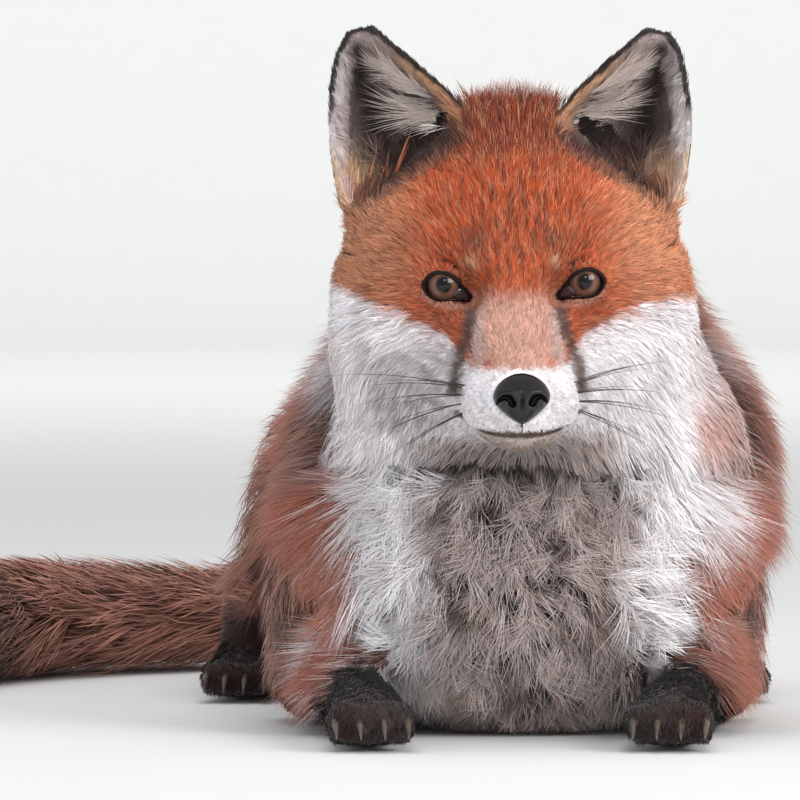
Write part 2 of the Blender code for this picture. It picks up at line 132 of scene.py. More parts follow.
class FoxCoat(bpy.types.PropertyGroup):
    thickness: factor("Thickness", "Depth of the coat, as a share of its own", 0.5, 1.2)
    fullness: factor("Fullness", "Number of hairs, as a share of the full coat", 0.1, 1.0)
    russet: tone("Russet", "Forehead and shoulders", 0.76, 0.34, 0.18)
    rufous: tone("Rufous", "Crown and round the eyes", 0.47, 0.185, 0.105)
    flank: tone("Flank", "Sides of the body and haunches", 0.67, 0.45, 0.39)
    tan: tone("Tan", "Bridge of the nose", 0.85, 0.65, 0.58)
    cream: tone("Cream", "Ear edges and brow spots", 0.88, 0.72, 0.56)
    white: tone("White", "Cheeks, muzzle and bib", 0.96, 0.94, 0.95)
    # Grey, umber and black also carry painted shade: under the chin, between the chest's clumps, over the
    # fox's right cheek and side of the face, in the ears' hollows and under the upper lids.
    grey: tone("Grey", "Middle of the chest and the belly", 0.82, 0.755, 0.74)
    umber: tone("Umber", "Underfur and tear stripes", 0.30, 0.22, 0.21)
    black: tone("Black", "Ear backs and stockings", 0.12, 0.09, 0.085)


class FoxFace(bpy.types.PropertyGroup):
    eye_radius: number("Eye radius", "Radius of the eyeball in millimetres", 9.6, 6.0, 12.0)
    iris_radius: number("Iris radius", "Radius of the iris in millimetres", 7.2, 4.0, 8.0)
    pupil_radius: number("Pupil radius", "Radius of the pupil in millimetres", 3.1, 0.5, 5.0)
    iris: tone("Iris", "Colour of the iris", 0.39, 0.27, 0.225)
    nose: tone("Nose", "Colour of the nose leather", 0.045, 0.040, 0.042)
    whiskers: IntProperty(
        name="Whiskers", description="Whiskers on each side of the muzzle", default=13, min=0, max=24,
    )
    whisker_length: number(
        "Whisker length", "Length of the longest whisker", 0.062, 0.01, 0.12, unit="LENGTH",
    )


class FoxStage(bpy.types.PropertyGroup):
    lens: number("Lens", "Focal length of the camera", 476.0, 20.0, 1000.0, unit="CAMERA")
    distance: number("Distance", "From the camera to the face", 4.5, 1.0, 20.0, unit="LENGTH")
    elevation: number(
        "Elevation", "How far the camera looks down", math.radians(2.0), 0.0, math.radians(60.0),
        subtype="ANGLE",
    )
    light: factor("Light", "Brightness of the studio, as a share of its own", 0.1, 4.0)
    floor: tone("Floor", "Colour of the floor and backdrop", 0.86, 0.86, 0.85)


# ---------------------------------------------------------------- numbers


def fade(values, zero, one):
    """0 up to `zero`, 1 past `one`, and a smooth step between, either way round."""
    share = np.clip((np.asarray(values, float) - zero) / (one - zero), 0.0, 1.0)
    return share * share * (3.0 - 2.0 * share)


def spot(across, along, radius):
    """1 at the middle of a round spot, fading out at about its radius."""
    return np.exp(-2.0 * (across * across + along * along) / (radius * radius))


def unit(vectors):
    """Vectors made one long."""
    return vectors / np.maximum(np.linalg.norm(vectors, axis=-1, keepdims=True), 1e-9)


def ripple(places, size, seed):
    """A smooth random value from -1 to 1 at each place, in waves about `size` long."""
    rng = np.random.default_rng(seed)
    waves = unit(rng.normal(size=(9, 3))) * (FULL_TURN / (size * rng.uniform(0.6, 1.5, (9, 1))))
    return np.clip(np.sin(places @ waves.T + rng.uniform(0, 6.3, 9)).mean(axis=1) * 2.4, -1.0, 1.0)


def to_line(places, line):
    """The distance from each place to a line of points, and the line's direction there."""
    line = np.array(line, float)
    best = np.full(len(places), np.inf)
    heading = np.zeros_like(places)
    for start, end in zip(line, line[1:]):
        run = end - start
        share = np.clip((places - start) @ run / (run @ run), 0.0, 1.0)
        gap = np.linalg.norm(places - start - share[:, None] * run, axis=1)
        nearer = gap < best
        best = np.where(nearer, gap, best)
        heading[nearer] = run / np.linalg.norm(run)
    return best, heading


def smooth_loop(points, steps):
    """A closed smooth curve through a few points."""
    points = np.array(points, float)
    t = np.arange(steps)[:, None] / steps
    rows = []
    for i in range(len(points)):
        a, b, c, d = (points[(i + k) % len(points)] for k in (-1, 0, 1, 2))
        rows.append(0.5 * (
            2 * b + (c - a) * t + (2 * a - 5 * b + 4 * c - d) * t**2 + (3 * b - 3 * c + d - a) * t**3
        ))
    return np.concatenate(rows)


def from_loop(places, loop):
    """Signed distance in a plane from each place to a closed loop, negative inside."""
    following = np.roll(loop, -1, axis=0)
    run = following - loop
    apart = places[:, None] - loop[None]
    share = np.clip((apart * run).sum(2) / (run * run).sum(1), 0.0, 1.0)
    gap = np.linalg.norm(apart - share[..., None] * run, axis=2).min(axis=1)
    above = (loop[:, 1] > places[:, 1:]) != (following[:, 1] > places[:, 1:])
    slope = run[:, 0] / np.where(np.abs(run[:, 1]) < 1e-9, 1e-9, run[:, 1])
    crossing = places[:, :1] < loop[:, 0] + (places[:, 1:] - loop[:, 1]) * slope
    inside = (above & crossing).sum(axis=1) % 2 == 1
    return np.where(inside, -gap, gap)


# ---------------------------------------------------------------- the head's frame


def head_axes():
    """The head's left, up and forward, as columns."""
    upright = Matrix(((1, 0, 0), (0, 0, -1), (0, 1, 0)))
    turn = Matrix.Rotation(HEAD_TURN, 3, "Z")
    lift = Matrix.Rotation(-HEAD_LIFT, 3, "X")
    tilt = Matrix.Rotation(HEAD_TILT, 3, "Y")
    return turn @ lift @ tilt.transposed() @ upright


HEAD = head_axes()
HEAD_COLUMNS = np.array(HEAD)


def in_head(u, v, w):
    """The world's place for one in the head's frame."""
    return EYE_LINE + HEAD @ (Vector((u, v, w)) * MM)


def head_places(places):
    """Places in the head's frame, in millimetres."""
    return (places - np.array(EYE_LINE)) @ HEAD_COLUMNS / MM


def world_places(head):
    return np.array(EYE_LINE) + (head * MM) @ HEAD_COLUMNS.T


LIDS = smooth_loop(LID_OPENING, 5)


def eye_gap(u, v, side):
    """Distance in millimetres to the lids' opening on that side, and the way outward from its middle."""
    outward, up = side * u - EYE_APART, v
    gap = np.full(len(u), 60.0)
    near = np.hypot(outward, up) < 45.0
    gap[near] = from_loop(np.stack([outward, up], 1)[near], LIDS)
    return gap, outward, up


def lid_height(outward, up):
    """How far forward the lids' surface is, over the eyeball."""
    return 4.3 - (outward * outward + up * up) / 26.0


EAR_TOP = 109.0
EAR_BACK = -106.0  # how far behind the eyes an ear's bowl reaches, in millimetres
# One ear's edges, from its foot up: out from the middle of the head and up, in millimetres.
EAR_INNER = (
    (71, 30), (61, 35), (45, 43.5), (30, 51), (16, 64), (20, 72), (27, 81.5), (38, 90), (48, 98.5),
    (55.5, 105), (62, 108.5),
)
EAR_OUTER = ((71, 30), (76, 42), (78, 52), (79, 66), (78, 84), (75, 98), (69, 107.5))


def ear_place(u, v):
    """Where a place is on its ear: out and up from the middle of the head with the two ears made
    alike, the share of the way from foot to tip, and in millimetres from the inner edge, from the
    outer edge and from the nearest part of the rim."""
    side = np.where(u > 0, 1.0, -1.0)
    shift, stretch = np.where(u > 0, 0.5, 2.5), np.where(u > 0, 0.5, 4.0)
    out = side * (u - shift)
    high = v / (1.0 + stretch / EAR_TOP)
    inner_edge, outer_edge = np.array(EAR_INNER, float), np.array(EAR_OUTER, float)
    inner = np.interp(high, inner_edge[:, 1], inner_edge[:, 0])
    outer = np.interp(high, outer_edge[:, 1], outer_edge[:, 0])
    root = np.interp(out, (16, 30, 45, 61, 71), (64, 51, 43.5, 35, 30))
    along = np.clip((high - root) / (EAR_TOP - root), 0.0, 1.0)
    rim = np.full(len(u), -60.0)
    near = (out > 5) & (high > 20)
    rim[near] = -from_loop(np.stack([out, high], 1)[near], np.concatenate([inner_edge, outer_edge[:0:-1]]))
    return out, high, along, out - inner, outer - out, rim


def ear_bowl(places, behind=-84.0):
    """How deep a place lies in an ear's bowl, from 0 at its edge or behind it to 1."""
    head = head_places(places)
    rim = ear_place(head[:, 0], head[:, 1])[5]
    return fade(rim, -0.5, 8.0) * fade(head[:, 2], behind, behind + 6)


def lip_gap(v, w):
    """How far above the meeting of the lips a place is, in millimetres."""
    return (v + 65.5) * 0.974 + (w - 62.0) * 0.225


# ---------------------------------------------------------------- meshes


def scene_objects():
    return bpy.context.scene.collection.objects


def evaluated_mesh(obj):
    bpy.context.view_layer.update()
    graph = bpy.context.evaluated_depsgraph_get()
    return bpy.data.meshes.new_from_object(obj.evaluated_get(graph))


def read(items, name, width=1, kind=np.float32):
    """One number of each item, or one row of them, as an array."""
    values = np.empty(len(items) * width, kind)
    items.foreach_get(name, values)
    values = values if kind == np.int32 else values.astype(float)
    return values.reshape(-1, width) if width > 1 else values


def points_of(mesh):
    return read(mesh.vertices, "co", 3)


def put_points(mesh, places):
    mesh.vertices.foreach_set("co", places.astype(np.float32).ravel())
    mesh.update()


def normals_of(mesh):
    return read(mesh.vertex_normals, "vector", 3)


def edges_of(mesh):
    return read(mesh.edges, "vertices", 2, np.int32)


def spread(values, edges, rounds, hold=None):
    """Values eased towards their neighbours' mean, round by round. `hold` keeps a share of each
    as it is."""
    flat = values.reshape(len(values), -1).astype(float)
    ends, others = np.concatenate([edges, edges[:, ::-1]]).T
    count = np.maximum(np.bincount(ends, minlength=len(flat)), 1)
    ease = 0.6 if hold is None else 0.6 * (1.0 - hold)[:, None]
    for _ in range(rounds):
        mean = np.stack([np.bincount(ends, column[others], len(flat)) / count for column in flat.T], 1)
        flat = flat + (mean - flat) * ease
    return flat.reshape(values.shape)


def note(mesh, name, values):
    """Keeps a value for each vertex on the mesh, for the pieces made later."""
    vector = values.ndim == 2
    kind = "FLOAT_VECTOR" if vector else "FLOAT"
    mark = mesh.attributes.get(name) or mesh.attributes.new(name, kind, "POINT")
    mark.data.foreach_set("vector" if vector else "value", values.astype(np.float32).ravel())


def noted(mesh, name):
    mark = mesh.attributes[name]
    return read(mark.data, "vector", 3) if mark.data_type == "FLOAT_VECTOR" else read(mark.data, "value")


def paint_points(mesh, name, colours):
    layer = mesh.color_attributes.new(name, "FLOAT_COLOR", "POINT")
    rgba = np.ones((len(colours), 4), np.float32)
    rgba[:, :3] = np.clip(colours, 0.0, 1.0)
    layer.data.foreach_set("color", rgba.ravel())


def piece(name, mesh, material, replaces=()):
    """A finished object that rides on the body, with its material and slot."""
    obj = bpy.data.objects.new(name, mesh)
    scene_objects().link(obj)
    mesh.materials.clear()
    mesh.materials.append(material)
    mesh.shade_smooth()
    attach(obj, BODY)
    if replaces:
        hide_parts(*replaces)
    return obj


def mesh_from(name, places, faces):
    """A mesh from an array of places and an array of faces with equal corner counts."""
    mesh = bpy.data.meshes.new(name)
    mesh.from_pydata([tuple(place) for place in places], [], [tuple(int(i) for i in face) for face in faces])
    mesh.update()
    return mesh


def grid_faces(rows, columns, closed):
    """Quads over a grid of points, row by row. A closed grid joins the last column to the first."""
    faces = []
    for row in range(rows - 1):
        for column in range(columns if closed else columns - 1):
            beside = (column + 1) % columns
            low, high = row * columns, (row + 1) * columns
            faces.append((low + column, low + beside, high + beside, high + column))
    return faces


def closed_mesh(name, places, rings, sides):
    """A solid of rings, with its doubled points welded, its ends filled and its faces outward."""
    mesh = mesh_from(name, places, grid_faces(rings, sides, True))
    bm = bmesh.new()
    bm.from_mesh(mesh)
    bmesh.ops.remove_doubles(bm, verts=bm.verts, dist=1e-7)
    bmesh.ops.holes_fill(bm, edges=bm.edges, sides=sides)
    bmesh.ops.recalc_face_normals(bm, faces=bm.faces)
    bm.to_mesh(mesh)
    bm.free()
    return mesh


def shell_mesh(name, places, rings, sides, middle):
    """An open surface of rings, welded, with its faces turned away from a place behind it."""
    mesh = mesh_from(name, places, grid_faces(rings, sides, True))
    bm = bmesh.new()
    bm.from_mesh(mesh)
    bmesh.ops.remove_doubles(bm, verts=bm.verts, dist=1e-6)
    bm.normal_update()
    inward = sum(face.normal.dot(face.calc_center_median() - middle) < 0 for face in bm.faces)
    if inward > len(bm.faces) / 2:
        bmesh.ops.reverse_faces(bm, faces=bm.faces)
    bm.to_mesh(mesh)
    bm.free()
    return mesh


def tubes(name, paths, radii, sides, squash=1.0):
    """Tapered tubes along smooth paths, each a closed skin of rings with a point at its end."""
    places, faces = [], []
    for path, widths in zip(paths, radii):
        path = [Vector(point) for point in path]
        start = len(places)
        for i, (point, radius) in enumerate(zip(path, widths)):
            ahead = (path[min(i + 1, len(path) - 1)] - path[max(i - 1, 0)]).normalized()
            aside = ahead.cross(Vector((0.02, 0.05, 1.0))).normalized()
            over = aside.cross(ahead)
            for k in range(sides):
                angle = FULL_TURN * k / sides
                places.append(point + (aside * math.cos(angle) + over * math.sin(angle) * squash) * radius)
        rings = len(path)
        faces += [tuple(start + i for i in face) for face in grid_faces(rings, sides, True)]
        faces.append(tuple(start + k for k in reversed(range(sides))))
        faces.append(tuple(start + (rings - 1) * sides + k for k in range(sides)))
    return mesh_from(name, places, faces)


# ---------------------------------------------------------------- materials


class Finish:
    """A material under construction, with its nodes made and joined by short calls."""

    def __init__(self, name, roughness, specular, **more):
        self.material = bpy.data.materials.new(name)
        self.material.use_nodes = True
        self.tree = self.material.node_tree
        self.shader = self.tree.nodes["Principled BSDF"]
        more.update(Roughness=roughness, Specular_IOR_Level=specular)
        for key, value in more.items():
            self.shader.inputs[key.replace("_", " ")].default_value = value

    def node(self, kind, *sources, **values):
        """A node with its first inputs given in order, as sockets or as numbers."""
        made = self.tree.nodes.new(kind)
        for key, value in values.items():
            if hasattr(made, key):
                setattr(made, key, value)
            else:
                made.inputs[key.replace("_", " ")].default_value = value
        for source, target in zip(sources, made.inputs):
            if isinstance(source, bpy.types.NodeSocket):
                self.join(source, target)
            else:
                target.default_value = source
        return made

    def join(self, source, target):
        self.tree.links.new(source, target)

    def paint(self, colour):
        self.join(colour, self.shader.inputs["Base Color"])

    def place(self):
        """The surface's own place."""
        return self.node("ShaderNodeTexCoord").outputs["Object"]

    def noise(self, scale, detail, stretch=None):
        """Noise over the surface's own place, drawn out by a stretch."""
        place = self.place()
        if stretch:
            place = self.node("ShaderNodeMapping", place, Scale=stretch).outputs["Vector"]
        return self.node("ShaderNodeTexNoise", place, Scale=scale, Detail=detail).outputs["Fac"]

    def between(self, factor, low, high):
        """The middle of the factor's range taken to the range low to high."""
        return self.node("ShaderNodeMapRange", factor, 0.3, 0.7, low, high).outputs["Result"]

    def shaded(self, colour, share):
        """The colour made lighter and darker by a share."""
        scale = self.node("ShaderNodeVectorMath", colour, operation="SCALE")
        self.join(share, scale.inputs["Scale"])
        return scale.outputs["Vector"]

    def ramp(self, factor, *stops):
        """Colours along a factor, from stops of a position and a colour each."""
        ramp = self.node("ShaderNodeValToRGB", factor)
        elements = ramp.color_ramp.elements
        while len(elements) < len(stops):
            elements.new(0.5)
        for element, (position, colour) in zip(elements, stops):
            element.position = position
            element.color = (*colour, 1.0)
        return ramp.outputs["Color"]

    def bump(self, height, strength, distance):
        bump = self.node("ShaderNodeBump", Strength=strength, Distance=distance)
        self.join(height, bump.inputs["Height"])
        self.join(bump.outputs["Normal"], self.shader.inputs["Normal"])


def mottled(name, roughness, specular, grain, dark, light, bump=None, **more):
    """A finish mottled from dark to light by a grain of noise, which can raise a bump too."""
    if name in bpy.data.materials:
        return bpy.data.materials[name]
    finish = Finish(name, roughness, specular, **more)
    fine = finish.noise(*grain)
    finish.paint(finish.ramp(fine, (0.0, dark), (1.0, light)))
    if bump:
        finish.bump(fine, *bump)
    return finish.material


def painted(name, attribute, roughness, specular, flecks, strength, **more):
    """A finish whose colour is the markings kept on the mesh, broken up by fine flecks."""
    finish = Finish(name, roughness, specular, **more)
    colour = finish.node("ShaderNodeVertexColor", layer_name=attribute).outputs["Color"]
    fine = finish.noise(flecks, 3.0)
    finish.paint(finish.shaded(colour, finish.between(fine, 1.0 - strength, 1.0 + strength)))
    rough = finish.between(fine, roughness - 0.06, roughness + 0.06)
    finish.join(rough, finish.shader.inputs["Roughness"])
    return finish


def skin_finish():
    finish = painted("short_fur_over_skin", "markings", 0.78, 0.2, 900.0, 0.22, Sheen_Weight=0.1)
    finish.bump(finish.noise(1500.0, 3.0), 0.6, 0.0006)
    return finish.material


def fur_finish(name, roughness, specular, sheen):
    if name in bpy.data.materials:
        return bpy.data.materials[name]
    return painted(
        name, "hair_colour", roughness, specular, 1400.0, 0.10, Sheen_Weight=sheen, Sheen_Roughness=0.4,
    ).material


# ---------------------------------------------------------------- the skin


def fused_flesh():
    """Every node of flesh in one closed surface."""
    bm = bmesh.new()
    for name in FLESH:
        bm.from_mesh(frame["nodes"][name].data)
    mesh = bpy.data.meshes.new("flesh")
    bm.to_mesh(mesh)
    bm.free()
    obj = bpy.data.objects.new("flesh", mesh)
    scene_objects().link(obj)
    fuse = obj.modifiers.new("fuse", "REMESH")
    fuse.mode = "VOXEL"
    fuse.voxel_size = SKIN_STEP
    obj.data = evaluated_mesh(obj)
    obj.modifiers.clear()
    return obj


def drop_islands(mesh):
    """Leaves only the largest connected part."""
    edges = edges_of(mesh)
    label = np.arange(len(mesh.vertices))
    while True:
        low = np.minimum(label[edges[:, 0]], label[edges[:, 1]])
        lower = label.copy()
        np.minimum.at(lower, edges[:, 0], low)
        np.minimum.at(lower, edges[:, 1], low)
        lower = lower[lower]
        if (lower == label).all():
            break
        label = lower
    keep = np.bincount(label).argmax()
    loose = np.flatnonzero(label != keep)
    if len(loose) == 0:
        return
    bm = bmesh.new()
    bm.from_mesh(mesh)
    bm.verts.ensure_lookup_table()
    bmesh.ops.delete(bm, geom=[bm.verts[int(i)] for i in loose], context="VERTS")
    bm.to_mesh(mesh)
    bm.free()


def nearest_nodes(places):
    """For each place, the node of flesh whose surface is nearest."""
    points, faces, owner = [], [], []
    for index, name in enumerate(FLESH):
        mesh = frame["nodes"][name].data
        start = len(points)
        points += [vertex.co.copy() for vertex in mesh.vertices]
        for polygon in mesh.polygons:
            faces.append([start + i for i in polygon.vertices])
            owner.append(index)
    tree = BVHTree.FromPolygons(points, faces)
    find = tree.find_nearest
    return np.array([owner[find(place)[2]] for place in places.tolist()])


def member(nodes, *starts):
    """1 for each vertex whose node's name starts with one of these words."""
    chosen = [i for i, name in enumerate(FLESH) if name.startswith(starts)]
    return np.isin(nodes, chosen).astype(float)


def thin_out(obj, keep_fine):
    """Fewer triangles where the surface is broad, and none taken where it has to be fine."""
    group = obj.vertex_groups.new(name="broad")
    for index in np.flatnonzero(keep_fine < 0.5).tolist():
        group.add((index,), 1.0, "REPLACE")
    total = sum(len(polygon.vertices) - 2 for polygon in obj.data.polygons)
    thin = obj.modifiers.new("thin", "DECIMATE")
    thin.ratio = SKIN_TRIANGLES / total
    thin.vertex_group = group.name
    obj.data = evaluated_mesh(obj)
    obj.modifiers.clear()
    obj.vertex_groups.clear()


def face_depth(head):
    """The coat's depth on the head in millimetres: thin on the muzzle and deep behind the cheeks."""
    _, v, w = head.T
    depth = np.interp(w, (-95, -60, -40, -15, 5, 40, 60), (13.0, 9.0, 6.5, 3.4, 2.0, 1.5, 1.3))
    under = fade(v, -62, -80) * fade(w, 50, 15)
    return depth + under * 4.0


def face_length(head):
    u, v, w = head.T
    length = np.interp(w, (-95, -60, -40, -15, 5, 40, 60), (34.0, 24.0, 17.0, 9.5, 6.0, 5.0, 4.0))
    cheek = fade(v, 5, -20) * fade(np.abs(u), 34, 52) * fade(w, 20, -5)
    under = fade(v, -58, -74) * fade(w, 50, 15)
    return length + cheek * 7.0 + under * 14.0


# Depth of the coat, length of its hairs and width of a hair, in millimetres, by the node's name.
COAT_SIZES = (
    ("neck", 16, 40, 0.75), ("trunk", 14, 38, 0.85), ("upper_arm", 9, 26, 0.75), ("forearm", 3.5, 12, 0.6),
    ("forepaw", 2.2, 7, 0.5), ("thigh", 11, 32, 0.85), ("shank", 5, 16, 0.7), ("instep", 3, 9, 0.6),
    ("hindpaw", 2.2, 7, 0.5), ("tail_root", 13, 38, 0.85), ("tail_middle", 17, 50, 0.9),
    ("tail_tip", 15, 48, 0.85), ("ear", 1.0, 5.5, 0.4), ("lower_jaw", 2.0, 8, 0.45), ("head", 4, 12, 0.5),
)


def coat_sizes(places, nodes):
    """Depth, length and width of the coat at each vertex, in millimetres, before smoothing."""
    head = head_places(places)
    sizes = np.zeros((len(places), 3))
    for start, *size in COAT_SIZES:
        sizes[member(nodes, start) > 0] = size
    on_head = member(nodes, "head", "lower_jaw") > 0
    sizes[on_head, 0] = face_depth(head[on_head])
    sizes[on_head, 1] = face_length(head[on_head])
    sizes[on_head, 2] = np.interp(sizes[on_head, 1], (4, 8, 20, 34), (0.32, 0.42, 0.55, 0.7))
    belly = member(nodes, "trunk") * fade(places[:, 2], 0.05, 0.02)
    sizes[:, 0] += belly * (5.0 - sizes[:, 0])
    sizes[:, 1] += belly * (22.0 - sizes[:, 1])
    return sizes


def head_lie(head):
    """The way the hairs point on the head: back from the nose, up over the brow and out over the
    cheeks."""
    u, v, _ = head.T
    parting = np.interp(np.abs(u), (8, 26, 44), (-62, -34, 4))
    rise = np.clip((v - parting) * np.where(v < parting, 1.15, 0.9), -80.0, 70.0)
    back = -45.0 - 1.3 * np.clip(v - 30.0, 0.0, None) + 30.0 * fade(v, -50, -72)
    outward = u * 0.85 * (1 - 0.8 * fade(np.abs(u), 46, 66) * fade(v, -62, -36))
    return np.stack([outward, rise, back], 1)


def lie_of_coat(places, nodes):
    """The way the hairs point at each vertex, before it is laid along the surface."""
    x = places[:, 0]
    head = head_places(places)
    lie = np.stack([x * 5.0, np.ones(len(x)), np.full(len(x), -0.55)], 1)
    neck = member(nodes, "neck") > 0
    lie[neck] = np.stack([x * 7.0, np.full(len(x), 0.8), np.full(len(x), -0.9)], 1)[neck]
    headings = {
        "upper_arm": (0.0, 0.55, -0.85), "forearm": (0.0, -1.0, -0.2), "forepaw": (0.0, -1.0, -0.25),
        "thigh": (0.0, 0.45, -0.85), "shank": (0.0, 1.0, -0.3), "instep": (0.0, -1.0, -0.2),
        "hindpaw": (0.0, -1.0, -0.25),
    }
    for start, heading in headings.items():
        lie[member(nodes, start) > 0] = heading
    tail = member(nodes, "tail") > 0
    lie[tail] = to_line(places[tail], BRUSH_LINE)[1] + np.array((0.0, 0.0, -0.12))
    on_head = member(nodes, "head", "lower_jaw") > 0
    lie[on_head] = unit(head_lie(head[on_head])) @ HEAD_COLUMNS.T
    ear = member(nodes, "ear") > 0
    side = np.sign(head[ear, 0])
    lie[ear] = np.stack([side * 0.35, np.ones(len(side)), np.zeros(len(side))], 1) @ HEAD_COLUMNS.T
    return unit(lie)


def along_surface(lie, normals):
    """The way the hairs point, laid along the surface."""
    return unit(lie - (lie * normals).sum(1)[:, None] * normals)


def room_behind(mesh, places, normals, wanted):
    """How far the wanted places are from the surface behind them, straight in."""
    tree = BVHTree.FromPolygons(places.tolist(), [polygon.vertices[:] for polygon in mesh.polygons])
    room = np.full(len(places), 1.0)
    for index in np.flatnonzero(wanted).tolist():
        start = Vector(places[index] - normals[index] * 0.2 * MM)
        reached = tree.ray_cast(start, Vector(-normals[index]))[3]
        if reached is not None:
            room[index] = reached
    return room


def shape_face(places, fine_nodes):
    """Sockets, lids, bridge, cheek hollows and the mouth's groove, by moves in the head's frame."""
    head = head_places(places)
    u, v, w = head.T
    front = (w > -30) & fine_nodes
    for side in (-1.0, 1.0):
        gap, outward, up = eye_gap(u, v, side)
        reach = front & (gap < 11.0) & (side * u > 8)
        lids = lid_height(outward, up)
        blend = fade(gap, 1.0, 10.0)
        outside = np.clip(w + 3.0, lids - 0.7, lids) * (1 - blend) + w * blend
        brow = 1.3 * np.exp(-(((outward + 2) / 13.0) ** 2) - ((up - 11.0) / 3.6) ** 2)
        pouch = 0.7 * np.exp(-((outward / 9.0) ** 2) - ((up + 12.0) / 3.0) ** 2)
        moved = np.where(gap > 0, outside, lids - 4.5 + np.maximum(gap, -3.0) * 0.5)
        w = np.where(reach, moved, w) + np.where(front & (side * u > 4), brow + pouch, 0.0)
    ridge = 0.8 * np.exp(-((np.abs(u) - 12.5) / 4.0) ** 2) * fade(v, -38, -28) * fade(v, 2, -8)
    w = w + np.where(front, ridge, 0.0)
    groove = 2.0 * np.exp(-((lip_gap(v, w) / 1.3) ** 2)) * fade(w, 10, 22)
    return world_places(np.stack([u, v, w], 1)), np.where(fine_nodes, groove, 0.0)


# Regions of the coat, as they are kept on the skin.
BARE, FACE, CHEEK, CROWN, EAR, RUFF, CHEST, BACK, FLANK, BELLY, FORELEG, HINDLEG, BRUSH = range(13)


def regions_of(places, normals, nodes):
    """The region of the coat to which each vertex belongs."""
    u, v, w = head_places(places).T
    _, y, z = places.T
    region = np.full(len(places), FLANK)
    region[(z > 0.155) & (normals[:, 2] > 0.45)] = BACK
    region[(normals[:, 2] < -0.6) & (z < 0.05)] = BELLY
    region[(y < -0.06) & (normals[:, 1] < -0.25)] = CHEST
    neck = member(nodes, "neck") > 0
    region[neck] = RUFF
    region[neck & (normals[:, 1] < -0.3) & (z < 0.13)] = CHEST
    region[member(nodes, "forearm", "forepaw", "upper_arm") > 0] = FORELEG
    region[member(nodes, "thigh", "shank", "instep", "hindpaw") > 0] = HINDLEG
    region[member(nodes, "tail") > 0] = BRUSH
    on_head = member(nodes, "head", "lower_jaw") > 0
    region[on_head] = np.where(w > -14, FACE, np.where(v < 12, CHEEK, CROWN))[on_head]
    region[member(nodes, "ear") > 0] = EAR
    for side in (-1.0, 1.0):
        gap = eye_gap(u, v, side)[0]
        region[(gap < -0.8) & (w > -25) & (side * u > 0)] = BARE
    region[on_head & (w > 14) & (np.abs(lip_gap(v, w)) < 0.9)] = BARE
    region[((u / 12.6) ** 2 + ((v - NOSE_CENTRE[1]) / 11.0) ** 2 < 1.0) & (w > 55)] = BARE
    return region


def away_from(head, lie):
    """The lie turned away from the eyes and the nose close by, so that no hair crosses them."""
    u, v, w = head.T
    turned = lie @ HEAD_COLUMNS
    front = w > -25
    for side in (-1.0, 1.0):
        gap, outward, up = eye_gap(u, v, side)
        push = np.where(front & (side * u > 0), np.exp(-np.maximum(gap, 0.0) / 5.0), 0.0)[:, None]
        turned = turned + push * 1.6 * unit(np.stack([side * outward, up + 0.5, np.zeros(len(u))], 1))
    up = v - NOSE_CENTRE[1]
    push = np.where(w > 40, np.exp(-np.maximum(np.hypot(u / 1.1, up) - 11.0, 0.0) / 4.0), 0.0)[:, None]
    turned = turned + push * 1.5 * unit(np.stack([u, up, np.zeros(len(u))], 1))
    return unit(turned) @ HEAD_COLUMNS.T


def unwrap(obj):
    """Spreads the skin on a flat map by its own shape."""
    obj.data.uv_layers.new(name="OFBake")
    bpy.context.view_layer.objects.active = obj
    obj.select_set(True)
    bpy.ops.object.mode_set(mode="EDIT")
    bpy.ops.mesh.select_all(action="SELECT")
    bpy.ops.uv.smart_project(angle_limit=math.radians(66), island_margin=0.001)
    bpy.ops.object.mode_set(mode="OBJECT")
    obj.select_set(False)


# ---------------------------------------------------------------- markings


def all_over(colour, places):
    return np.tile(np.array(colour), (len(places), 1))


def lay(colour, over, share):
    """One colour laid over another by a share at each place."""
    return colour + (np.asarray(over) - colour) * np.clip(share, 0.0, 1.0)[:, None]


def lay_all(colour, coat, *layers):
    """Colours of the coat laid over one another in order, each a name and a share at each place."""
    for name, share in layers:
        colour = lay(colour, getattr(coat, name), share)
    return colour


